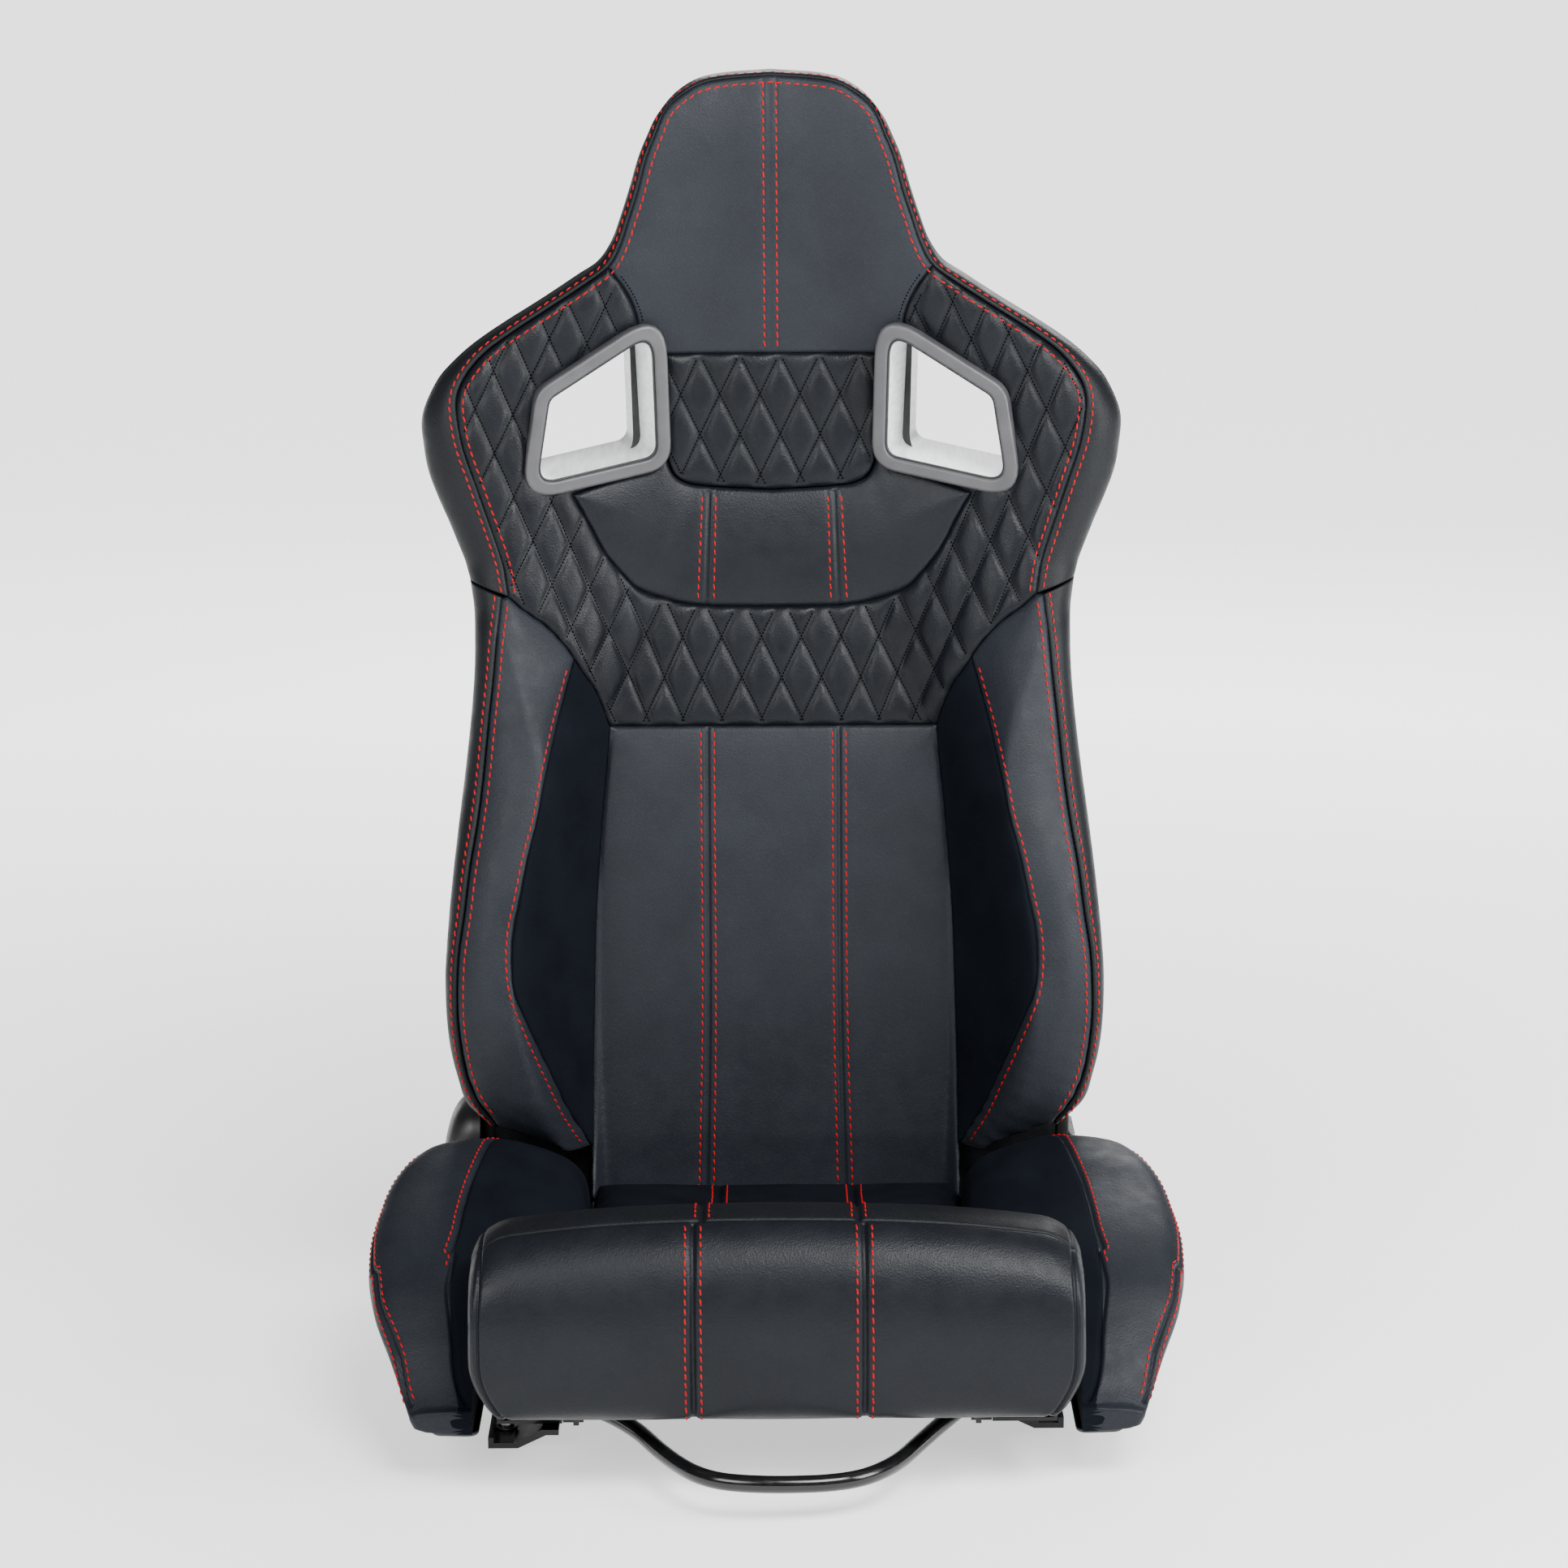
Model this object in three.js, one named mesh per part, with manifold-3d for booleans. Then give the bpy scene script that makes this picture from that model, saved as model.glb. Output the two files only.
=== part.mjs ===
// Reclining bucket seat on slide rails.
// Millimetres, +Z up. The seat faces -Y, the floor under the rail feet is z = 0,
// and the origin is under the middle of the whole seat. The sitter's left side is +X.
import * as THREE from 'three';
import { mergeVertices } from 'three/addons/utils/BufferGeometryUtils.js';
import Module from 'manifold-3d';

const wasm = await Module();
wasm.setup();

// ---------------------------------------------------------------- driving dimensions

const SIDES = { left: 1, right: -1 };
const GAP = 0.35;                    // clearance between solids that touch

// Backrest front surface, station by station up the seat: height, depth of the centre line,
// half width of the flat centre, half width and forward rise of the bolster or wing crest.
const BACK_STATIONS = [
  { z: 100, depth: 97, flat: 128, crest: 130, rise: 20 },
  { z: 140, depth: 102, flat: 129, crest: 150, rise: 45 },
  { z: 200, depth: 112, flat: 130, crest: 178, rise: 78 },
  { z: 270, depth: 124, flat: 131, crest: 192, rise: 92 },
  { z: 350, depth: 140, flat: 130, crest: 184, rise: 88 },
  { z: 430, depth: 158, flat: 124, crest: 172, rise: 74 },
  { z: 500, depth: 172, flat: 100, crest: 190, rise: 60 },
  { z: 560, depth: 184, flat: 70, crest: 215, rise: 50 },
  { z: 620, depth: 193, flat: 60, crest: 232, rise: 46 },
  { z: 680, depth: 200, flat: 55, crest: 236, rise: 43 },
  { z: 740, depth: 204, flat: 50, crest: 190, rise: 30 },
  { z: 800, depth: 205, flat: 40, crest: 120, rise: 16 },
  { z: 870, depth: 206, flat: 30, crest: 106, rise: 10 },
  { z: 935, depth: 214, flat: 20, crest: 80, rise: 6 },
];
const CREST_FALLOFF = 0.004;         // how fast the surface turns back outside the crest, 1/mm
const PAD_DEPTH = 38;                // foam behind the centre line
const BACK_DOME = 0.0006;            // how much the rear curves forward towards the edges, 1/mm
const SHELL_DEPTH = 38;              // rear shell behind the foam
const SHELL_WALL = 5;

// Half outline of the backrest, from the top centre down the side, as x and z.
const BACK_OUTLINE = [
  [0, 935], [40, 931.5], [66, 920], [84, 901], [96, 873], [106, 843], [116, 815],
  [128, 796], [160, 775], [210, 745], [244, 716], [260, 683], [256, 645], [239, 604],
  [227, 572], [222, 540], [222, 500], [227, 440], [234, 385], [240, 330], [243, 277],
  [239, 230], [228, 190], [209, 173],
];
const NECK_Z = 797;                  // the head pad's side seam starts here
const CROSS_SEAM_Z = 566;            // wings above, bolsters below, at the side
const HEAD_BOTTOM_Z = 729;
const QUILT_TOP_HALF = 79;           // centre quilted panel between the harness holes
const QUILT_TOP_FOOT_Z = 629;
const HEAD_SIDE_SEAM = [[116, 796], [107, 777], [100, 761], [98, 749], [98, HEAD_BOTTOM_Z]];
const BIB_EDGE = [[148, 628], [138, 610], [125, 585], [111, 567], [99, 555], [76, 546], [50, 542], [0, 541]];
const YOKE_EDGE = [[222, CROSS_SEAM_Z], [198, 558], [185, 548], [168, 535], [153, 518], [142, 500],
  [131, 481], [122, 453]];
const YOKE_SPLIT_X = 125;            // wings outside, lower quilted band inside
const PANEL_EDGE = [[122, 453], [125, 420], [128, 390], [133, 317], [135, 250], [136, 190], [136, 124]];
const PANEL_FOOT_Z = 124;
const BOLSTER_FOOT = [[209, 173], [175, 168], [150, 163], [136, 158]];

// Harness holes: corners of the clear opening on the left wing, seen square on.
const HOLE_CORNERS = [[91, 746], [88.5, 655], [176, 638], [166, 700]];
const HOLE_CENTRE = [130, 684];
const HOLE_TILT = THREE.MathUtils.degToRad(15);
const HOLE_RADIUS = 11;
const SLEEVE_WALL = 2.2;
const BEZEL_WIDTH = 11.5;
const BEZEL_DEPTH = 7;

// Seat base.
const CUSHION_HALF = 136.5;
const CUSHION_BOTTOM = 53;
const CUSHION_TOP = [[-120, 137], [-60, 129], [0, 124], [60, 118], [92, 116]];
const ROLL_HALF = 209;
const ROLL_PROFILE = [[-125, 62], [-242, 57], [-257, 75], [-263, 118], [-256, 160], [-236, 189],
  [-208, 200], [-178, 194], [-152, 182], [-133, 164], [-122, 138]];
const ROLL_MIDDLE = { y: -190, z: 122 };
const ROLL_HALF_HEIGHT = 78;
const ROLL_CROWN = 16;               // how much lower the roll's top is at its ends
const ROLL_STATIONS = [-1, -0.985, -0.94, -0.8, -0.6, -0.4, -0.2, 0, 0.2, 0.4, 0.6, 0.8, 0.94, 0.985, 1];
const BOLSTER_BASE = [
  { y: 76, top: 120, outer: 240 }, { y: 66, top: 152, outer: 246 }, { y: 48, top: 168, outer: 256 },
  { y: 30, top: 173, outer: 268 }, { y: 0, top: 171, outer: 279 }, { y: -40, top: 161, outer: 288 },
  { y: -80, top: 151, outer: 291 }, { y: -105, top: 143, outer: 290 }, { y: -140, top: 127, outer: 284 },
  { y: -175, top: 98, outer: 270 }, { y: -205, top: 66, outer: 257 }, { y: -218, top: 54, outer: 252 },
];
const BOLSTER_BASE_INNER = 137.5;
const BOLSTER_BASE_BOTTOM = 38;
const RAIL_CLEAR_X = 205;            // below the pan the side bolsters stay outside this

// Slide rails.
const RAIL_X = 175;
const RAIL_LENGTH = 340;
const RAIL_Y = 34;
const RAIL_BOTTOM = 14;
const LOWER_RAIL = { width: 46, height: 19, wall: 2.5, lip: 10 };
const UPPER_RAIL_TOP = 48;
const PAN_Z = UPPER_RAIL_TOP + GAP;
const FRONT_FOOT_Y = { left: -92, right: -124 };
const REAR_FOOT_Y = 170;
const FOOT_LENGTH = 46;
const FOOT_PLATE = 4;

// Recliner and release.
const PIVOT = { y: 128, z: 115 };
const UPPER_PLATE_X = 217;
const LOWER_PLATE_X = 222.5;
const PLATE = 4;
const FRAME_TUBE = 9.5;
const SHAFT_RADIUS = 5;
const LEVER_X = [-261.5, -252];
const COVER = { x0: 227, x1: 251, y0: 90, y1: 168, z0: 62, z1: 174, wall: 2.5, corner: 30, bevel: 12 };
const BAR_RADIUS = 6;
const BAR_Z = 29;
const BAR_PIVOT = { x: 141, y: -110 };

const COLOURS = {
  leather: { color: 0x1b1d21, roughness: 0.5, metalness: 0 },
  shell: { color: 0x161617, roughness: 0.6, metalness: 0 },
  plastic: { color: 0x111112, roughness: 0.5, metalness: 0 },
  bezel: { color: 0x77787c, roughness: 0.35, metalness: 0.3 },
  sleeve: { color: 0x9a9b9e, roughness: 0.3, metalness: 0.5 },
  blackMetal: { color: 0x0d0d0e, roughness: 0.35, metalness: 0.6 },
  steel: { color: 0x8d9094, roughness: 0.35, metalness: 1 },
};

// ---------------------------------------------------------------- curves and surfaces

// Smooth curve through [x, value] pairs with no overshoot.
function smooth(pairs) {
  const n = pairs.length;
  const slope = [];
  for (let i = 0; i < n - 1; i++) {
    slope.push((pairs[i + 1][1] - pairs[i][1]) / (pairs[i + 1][0] - pairs[i][0]));
  }
  const tangent = pairs.map((_, i) => {
    if (i === 0) return slope[0];
    if (i === n - 1) return slope[n - 2];
    return slope[i - 1] * slope[i] <= 0 ? 0 : (2 * slope[i - 1] * slope[i]) / (slope[i - 1] + slope[i]);
  });
  return (x) => {
    let i = 0;
    while (i < n - 2 && x > pairs[i + 1][0]) i++;
    const width = pairs[i + 1][0] - pairs[i][0];
    const t = Math.min(1, Math.max(0, (x - pairs[i][0]) / width));
    const a = 1 - t;
    return a * a * (1 + 2 * t) * pairs[i][1] + t * t * (3 - 2 * t) * pairs[i + 1][1]
      + t * a * a * width * tangent[i] - t * t * a * width * tangent[i + 1];
  };
}

const centreDepth = smooth(BACK_STATIONS.map((s) => [s.z, s.depth]));
const flatHalf = smooth(BACK_STATIONS.map((s) => [s.z, s.flat]));
const crestHalf = smooth(BACK_STATIONS.map((s) => [s.z, s.crest]));
const crestRise = smooth(BACK_STATIONS.map((s) => [s.z, s.rise]));

// Front of the backrest: flat in the middle, rising forward to the crest, then turning back.
function backFront(x, z) {
  const side = Math.abs(x);
  const t = THREE.MathUtils.clamp((side - flatHalf(z)) / (crestHalf(z) - flatHalf(z)), 0, 1);
  const rise = (t + t * t * (3 - 2 * t)) / 2;
  const beyond = Math.max(side - crestHalf(z), 0);
  return centreDepth(z) - crestRise(z) * rise + beyond * beyond * CREST_FALLOFF;
}

// Rear of the foam, a shallow dome behind the centre line.
function foamRear(x, z) {
  return centreDepth(z) + PAD_DEPTH - BACK_DOME * x * x;
}

function mirrored(half) {
  const other = half.filter(([x]) => x > 0).map(([x, z]) => [-x, z]).reverse();
  return [...half, ...other];
}

function between(points, zLow, zHigh) {
  return points.filter(([, z]) => z >= zLow && z <= zHigh);
}

// Closed polygon moved inwards by distance (outwards if negative).
function inset(points, distance) {
  const v = points.map(([x, z]) => new THREE.Vector2(x, z));
  const turn = Math.sign(THREE.ShapeUtils.area(v));
  return v.map((p, i) => {
    const before = v[(i + v.length - 1) % v.length];
    const after = v[(i + 1) % v.length];
    const a = p.clone().sub(before).normalize();
    const b = after.clone().sub(p).normalize();
    const normal = new THREE.Vector2(-(a.y + b.y), a.x + b.x).multiplyScalar(turn);
    const mitre = distance / Math.max(0.35, normal.length() / 2);
    return p.clone().addScaledVector(normal.normalize(), mitre).toArray();
  });
}

// Closed polygon with every corner rounded to the same radius by short arcs.
function rounded(corners, radius, steps = 4) {
  const out = [];
  const v = corners.map(([x, z]) => new THREE.Vector2(x, z));
  v.forEach((p, i) => {
    const a = v[(i + v.length - 1) % v.length].clone().sub(p).normalize();
    const b = v[(i + 1) % v.length].clone().sub(p).normalize();
    const half = a.angleTo(b) / 2;
    const start = p.clone().addScaledVector(a, radius / Math.tan(half));
    const end = p.clone().addScaledVector(b, radius / Math.tan(half));
    for (let k = 0; k <= steps; k++) {
      const t = k / steps;
      out.push([0, 1].map((c) => {
        const key = c ? 'y' : 'x';
        return (1 - t) ** 2 * start[key] + 2 * t * (1 - t) * p[key] + t * t * end[key];
      }));
    }
  });
  return out;
}

// ---------------------------------------------------------------- solids

function toSolid(geometry) {
  const bare = geometry.index ? geometry.clone() : geometry;
  bare.deleteAttribute('normal');
  bare.deleteAttribute('uv');
  const merged = mergeVertices(bare, 1e-4);
  return new wasm.Manifold(new wasm.Mesh({
    numProp: 3,
    vertProperties: new Float32Array(merged.attributes.position.array),
    triVerts: new Uint32Array(merged.index.array),
  }));
}

function toGeometry(solid) {
  const mesh = solid.getMesh();
  const geometry = new THREE.BufferGeometry();
  geometry.setAttribute('position', new THREE.BufferAttribute(new Float32Array(mesh.vertProperties), 3));
  geometry.setIndex(new THREE.BufferAttribute(new Uint32Array(mesh.triVerts), 1));
  return geometry;
}

const join = (...solids) => solids.reduce((a, b) => a.add(b));

function box(xRange, yRange, zRange) {
  const size = [xRange, yRange, zRange].map(([a, b]) => Math.abs(b - a));
  const centre = [xRange, yRange, zRange].map(([a, b]) => (a + b) / 2);
  return toSolid(new THREE.BoxGeometry(...size).translate(...centre));
}

function rodAlongX(x0, x1, y, z, radius, sides = 16) {
  const rod = new THREE.CylinderGeometry(radius, radius, Math.abs(x1 - x0), sides);
  return toSolid(rod.rotateZ(Math.PI / 2).translate((x0 + x1) / 2, y, z));
}

function rodAlongZ(x, y, z0, z1, radius, sides = 16) {
  const rod = new THREE.CylinderGeometry(radius, radius, z1 - z0, sides).rotateX(Math.PI / 2);
  return toSolid(rod.translate(x, y, (z0 + z1) / 2));
}

// Outline in x and z, run along Y.
function prismAlongY(points, y0, y1) {
  const shape = new THREE.Shape(points.map(([x, z]) => new THREE.Vector2(x, z)));
  const prism = new THREE.ExtrudeGeometry(shape, { depth: y1 - y0, bevelEnabled: false });
  return toSolid(prism.rotateX(Math.PI / 2).translate(0, y1, 0));
}

// Outline in y and z, run along X.
function prismAlongX(points, x0, x1, bevel = 0) {
  const shape = new THREE.Shape(points.map(([y, z]) => new THREE.Vector2(y, z)));
  const prism = new THREE.ExtrudeGeometry(shape, {
    depth: x1 - x0 - 2 * bevel,
    bevelEnabled: bevel > 0,
    bevelThickness: bevel,
    bevelSize: bevel,
    bevelOffset: -bevel,
    bevelSegments: 2,
  });
  const upright = new THREE.Matrix4().makeBasis(
    new THREE.Vector3(0, 1, 0), new THREE.Vector3(0, 0, 1), new THREE.Vector3(1, 0, 0));
  return toSolid(prism.applyMatrix4(upright).translate(x0 + bevel, 0, 0));
}

// Round tube along a smooth curve through the points.
function tube(points, radius, steps, sides = 10) {
  const circle = new THREE.Shape(new THREE.EllipseCurve(0, 0, radius, radius).getPoints(sides).slice(0, -1));
  const path = new THREE.CatmullRomCurve3(points.map((p) => new THREE.Vector3(...p)), false, 'centripetal');
  return toSolid(new THREE.ExtrudeGeometry(circle, { extrudePath: path, steps }));
}

// Slab between two depth surfaces over a rectangle in x and z.
function depthSlab([x0, x1], [z0, z1], front, rear, cell = 22) {
  const nx = Math.max(2, Math.round((x1 - x0) / cell));
  const nz = Math.max(2, Math.round((z1 - z0) / cell));
  const slab = new THREE.BoxGeometry(x1 - x0, 2, z1 - z0, nx, 1, nz);
  slab.translate((x0 + x1) / 2, 0, (z0 + z1) / 2);
  const p = slab.attributes.position;
  for (let i = 0; i < p.count; i++) {
    const surface = p.getY(i) < 0 ? front : rear;
    p.setY(i, surface(p.getX(i), p.getZ(i)));
  }
  return toSolid(slab);
}

// Solid through matching rings of [x, y, z] points, closed with flat ends.
function loft(rings) {
  const count = rings[0].length;
  const vertices = rings.flat(2);
  const triangles = [];
  for (let r = 0; r < rings.length - 1; r++) {
    for (let i = 0; i < count; i++) {
      const j = (i + 1) % count;
      const [a, b, c, d] = [r * count + i, r * count + j, (r + 1) * count + j, (r + 1) * count + i];
      triangles.push(a, b, c, a, c, d);
    }
  }
  const last = (rings.length - 1) * count;
  for (let i = 1; i < count - 1; i++) {
    triangles.push(0, i + 1, i, last, last + i, last + i + 1);
  }
  const geometry = new THREE.BufferGeometry();
  geometry.setAttribute('position', new THREE.Float32BufferAttribute(vertices, 3));
  geometry.setIndex(triangles);
  return toSolid(geometry);
}

const seat = new THREE.Group();

function add(name, solid, look) {
  const mesh = new THREE.Mesh(toGeometry(solid), new THREE.MeshStandardMaterial(COLOURS[look]));
  mesh.name = name;
  seat.add(mesh);
}

// ---------------------------------------------------------------- harness holes

// Prism of the hole's outline, grown by margin, square to the wing from depth w0 to w1.
function holePrism(side, margin, w0, w1) {
  const [cx, cz] = HOLE_CENTRE;
  const stretch = 1 / Math.cos(HOLE_TILT);
  const corners = HOLE_CORNERS.map(([x, z]) => [(x - cx) * stretch, z - cz]);
  const outline = rounded(inset(corners, -margin), HOLE_RADIUS + margin);
  const shape = side > 0 ? outline : outline.map(([x, z]) => [-x, z]).reverse();
  const prism = toGeometry(prismAlongY(shape, w0, w1));
  prism.rotateZ(-side * HOLE_TILT);
  return toSolid(prism.translate(side * cx, backFront(cx, cz), cz));
}

function addHarnessTrim(name, side) {
  const rearDepth = SHELL_DEPTH + foamRear(...HOLE_CENTRE) - backFront(...HOLE_CENTRE);
  const bezel = holePrism(side, BEZEL_WIDTH, -BEZEL_DEPTH - 5, -5).subtract(holePrism(side, 0, -40, 40));
  add(`harness_bezel_${name}`, bezel, 'bezel');
  const tunnel = holePrism(side, SLEEVE_WALL, -5 + GAP, rearDepth + 8);
  const collar = holePrism(side, BEZEL_WIDTH, rearDepth - 20, rearDepth + 8).subtract(insideShell);
  const sleeve = join(tunnel, collar).subtract(holePrism(side, 0, -60, rearDepth + 60));
  add(`harness_sleeve_${name}`, sleeve, 'sleeve');
}

// ---------------------------------------------------------------- backrest foam

const outlineLow = BACK_OUTLINE.at(-1)[1];

function foam(outline, holes = []) {
  const xs = outline.map(([x]) => x);
  const zs = outline.map(([, z]) => z);
  const xRange = [Math.min(...xs) - 5, Math.max(...xs) + 5];
  const zRange = [Math.min(...zs) - 5, Math.max(...zs) + 5];
  const slab = depthSlab(xRange, zRange, backFront, foamRear);
  const cut = slab.intersect(prismAlongY(inset(outline, GAP / 2), -100, 400));
  return holes.reduce((solid, hole) => solid.subtract(hole), cut);
}

function flip(points, side) {
  return side > 0 ? points : points.map(([x, z]) => [-x, z]);
}

function addBackFoam() {
  const head = mirrored([...between(BACK_OUTLINE, NECK_Z, 1000), ...HEAD_SIDE_SEAM]);
  const holes = Object.values(SIDES).map((side) => holePrism(side, SLEEVE_WALL + GAP, -60, 160));
  add('head_pad', foam(head, holes), 'leather');
  const foot = QUILT_TOP_FOOT_Z;
  add('upper_panel', foam([[-QUILT_TOP_HALF, HEAD_BOTTOM_Z], [-QUILT_TOP_HALF, foot],
    [QUILT_TOP_HALF, foot], [QUILT_TOP_HALF, HEAD_BOTTOM_Z]]), 'leather');
  add('bib_pad', foam(mirrored(BIB_EDGE)), 'leather');
  const bandTop = mirrored(BIB_EDGE.filter(([x]) => x <= YOKE_SPLIT_X));
  const [bandX, bandZ] = YOKE_EDGE.at(-1);
  add('quilt_band', foam([...bandTop, [-YOKE_SPLIT_X, 464], [-bandX, bandZ], [bandX, bandZ],
    [YOKE_SPLIT_X, 464]]), 'leather');
  add('centre_pad', foam(mirrored(PANEL_EDGE)), 'leather');
  for (const [name, side] of Object.entries(SIDES)) {
    const wing = [
      ...between(BACK_OUTLINE, CROSS_SEAM_Z, NECK_Z), ...YOKE_EDGE.filter(([x]) => x > YOKE_SPLIT_X + 1),
      [YOKE_SPLIT_X, 470], ...BIB_EDGE.filter(([x]) => x >= YOKE_SPLIT_X).reverse(),
      [QUILT_TOP_HALF, QUILT_TOP_FOOT_Z], [QUILT_TOP_HALF, HEAD_BOTTOM_Z], ...HEAD_SIDE_SEAM.toReversed(),
    ];
    add(`wing_pad_${name}`, foam(flip(wing, side), [holePrism(side, SLEEVE_WALL + GAP, -60, 160)])
      .subtract(holePrism(side, BEZEL_WIDTH + GAP, -60, -5 + GAP)), 'leather');
    const bolster = [
      ...YOKE_EDGE.toReversed(), ...between(BACK_OUTLINE, outlineLow, CROSS_SEAM_Z),
      ...BOLSTER_FOOT.slice(1), ...PANEL_EDGE.filter(([, z]) => z > 160 && z < 453).reverse(),
    ];
    add(`back_bolster_${name}`, foam(flip(bolster, side)), 'leather');
  }
}

// ---------------------------------------------------------------- rear shell and back frame

const SHELL_BOTTOM_Z = 140;
const SHELL_NOTCH = { x: 195, z: 218 };   // leaves room for the recliner arms

const shellFoot = [[205, SHELL_BOTTOM_Z + 12], [185, SHELL_BOTTOM_Z]];
const shellOutline = mirrored([...BACK_OUTLINE.slice(0, -1), ...shellFoot]);
const shellRear = (x, z) => foamRear(x, z) + SHELL_DEPTH;
const shellFront = (x, z) => foamRear(x, z) + 4 * GAP;
const shellOuter = depthSlab([-270, 270], [SHELL_BOTTOM_Z - 10, 945], shellFront, shellRear, 42)
  .intersect(prismAlongY(inset(shellOutline, 4), -100, 400));

// Everything in front of the shell's outer face, to seat what is clipped on from behind.
const shellLimit = (x, z) => shellRear(x, z) + GAP;
const insideShell = depthSlab([-270, 270], [SHELL_BOTTOM_Z - 20, 945], () => 0, shellLimit, 42);

function addShell() {
  const cavity = depthSlab([-270, 270], [SHELL_BOTTOM_Z - 20, 945], (x, z) => foamRear(x, z) - 10,
    (x, z) => shellRear(x, z) - SHELL_WALL, 42)
    .intersect(prismAlongY(inset(shellOutline, 4 + SHELL_WALL), -100, 400));
  let shell = shellOuter.subtract(cavity);
  for (const side of Object.values(SIDES)) {
    const { x, z } = SHELL_NOTCH;
    shell = shell.subtract(box([side * x, side * 280], [0, 400], [100, z]));
    shell = shell.subtract(holePrism(side, SLEEVE_WALL + GAP, -60, 200));
  }
  add('rear_shell', shell, 'shell');
}

const FRAME_HALF_PATH = [
  [205, 150], [205, 230], [206, 320], [201, 420], [196, 520], [198, 570], [212, 620], [221, 660],
  [214, 700], [190, 728], [158, 747], [122, 764], [98, 788], [84, 822], [75, 860], [52, 894], [0, 908],
];

// Tube centre line in the space between the foam and the shell.
function frameDepth(x, z) {
  return foamRear(x, z) + (SHELL_DEPTH - SHELL_WALL) / 2 + GAP;
}

function addBackFrame() {
  const hoop = mirrored(FRAME_HALF_PATH).map(([x, z]) => [x, frameDepth(x, z), z]);
  add('back_frame', tube(hoop, FRAME_TUBE, 46, 8), 'blackMetal');
  const bars = { shoulder_crossbar: [600, 188], lower_crossbar: [190, 193] };
  for (const [name, [z, half]] of Object.entries(bars)) {
    const path = [-1, -0.6, -0.2, 0.2, 0.6, 1].map((t) => [t * half, frameDepth(t * half, z), z]);
    add(name, tube(path, 8, 10, 8), 'blackMetal');
  }
}

// ---------------------------------------------------------------- recliner

function plateOutline() {
  const foot = Array.from({ length: 9 }, (_, i) => {
    const a = Math.PI * (0.05 + (1.0 * i) / 8) + Math.PI;
    return [PIVOT.y + 24 * Math.cos(a), PIVOT.z + 24 * Math.sin(a)];
  });
  return [...foot, [PIVOT.y + 26, 214], [PIVOT.y + 1, 214]];
}

function addRecliner() {
  const bore = (r) => rodAlongX(-300, 300, PIVOT.y, PIVOT.z, r);
  for (const [name, side] of Object.entries(SIDES)) {
    const [u0, u1] = [side * UPPER_PLATE_X, side * (UPPER_PLATE_X + PLATE)].sort((a, b) => a - b);
    const upper = prismAlongX(plateOutline(), u0, u1).subtract(bore(SHAFT_RADIUS + 0.6));
    add(`recliner_arm_${name}`, upper, 'blackMetal');
    const [l0, l1] = [side * LOWER_PLATE_X, side * (LOWER_PLATE_X + PLATE)].sort((a, b) => a - b);
    const web = prismAlongX(rounded([[88, PAN_Z], [166, PAN_Z], [160, 148], [96, 148]], 12), l0, l1);
    const foot = box([side * 158, side * (LOWER_PLATE_X + PLATE)], [92, 162], [PAN_Z, PAN_Z + PLATE]);
    add(`recliner_bracket_${name}`, join(web, foot).subtract(bore(SHAFT_RADIUS + 0.6)), 'blackMetal');
  }
}

function addReclinerCover() {
  const c = COVER;
  const outline = (m) => rounded([[c.y0 + m, c.z0 + m], [c.y1 - m, c.z0 + m], [c.y1 - m, c.z1 - m],
    [c.y0 + m, c.z1 - m]], c.corner - m, 5);
  const openSide = c.bevel - c.x0;
  const inboard = box([-c.x0, 0], [0, 250], [0, 250]);
  const outer = prismAlongX(outline(0), -c.x1, openSide, c.bevel).subtract(inboard);
  const inner = prismAlongX(outline(c.wall), -c.x1 + c.wall, openSide, c.bevel);
  const cover = outer.subtract(inner).subtract(rodAlongX(-260, -220, PIVOT.y, PIVOT.z, SHAFT_RADIUS + 1));
  add('recliner_cover', cover, 'plastic');
  const cap = rodAlongX(LOWER_PLATE_X + PLATE + GAP, LOWER_PLATE_X + PLATE + 7, PIVOT.y, PIVOT.z, 19, 24);
  add('pivot_cap', cap.subtract(rodAlongX(200, 232, PIVOT.y, PIVOT.z, SHAFT_RADIUS + 1)), 'plastic');
  add('recline_spring', spiralSpring(), 'steel');
}

// Flat spiral clock spring round the shaft, inside the cover.
function spiralSpring() {
  const turns = 2;
  const steps = 16 * turns;
  const arm = (offset) => Array.from({ length: steps + 1 }, (_, i) => {
    const a = (i / steps) * turns * 2 * Math.PI;
    const r = 10 + (i / steps) * 17 + offset;
    return [PIVOT.y + r * Math.cos(a), PIVOT.z + r * Math.sin(a)];
  });
  return prismAlongX([...arm(1), ...arm(-1).reverse()], -244, -234);
}

function addRecliningLever() {
  const [x0, x1] = LEVER_X;
  const { y, z } = PIVOT;
  const shaft = rodAlongX(x0, LOWER_PLATE_X + PLATE + 3, y, z, SHAFT_RADIUS);
  const leverRoom = rodAlongX(x0 - 5, x1 + GAP, y, z, SHAFT_RADIUS + 2);
  add('release_shaft', shaft.subtract(leverRoom), 'steel');
  const outline = [[y + 8, z - 5], [y + 9, z + 2], [y + 4, z + 8], [y - 4, z + 8], [y - 30, z - 6],
    [y - 50, z - 20], [y - 56, z - 29], [y - 54, z - 36], [y - 46, z - 37], [y - 24, z - 24], [y - 2, z - 9]];
  add('recline_lever', prismAlongX(outline, x0, x1, 2.5), 'plastic');
}

// ---------------------------------------------------------------- seat base foam and pan

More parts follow.
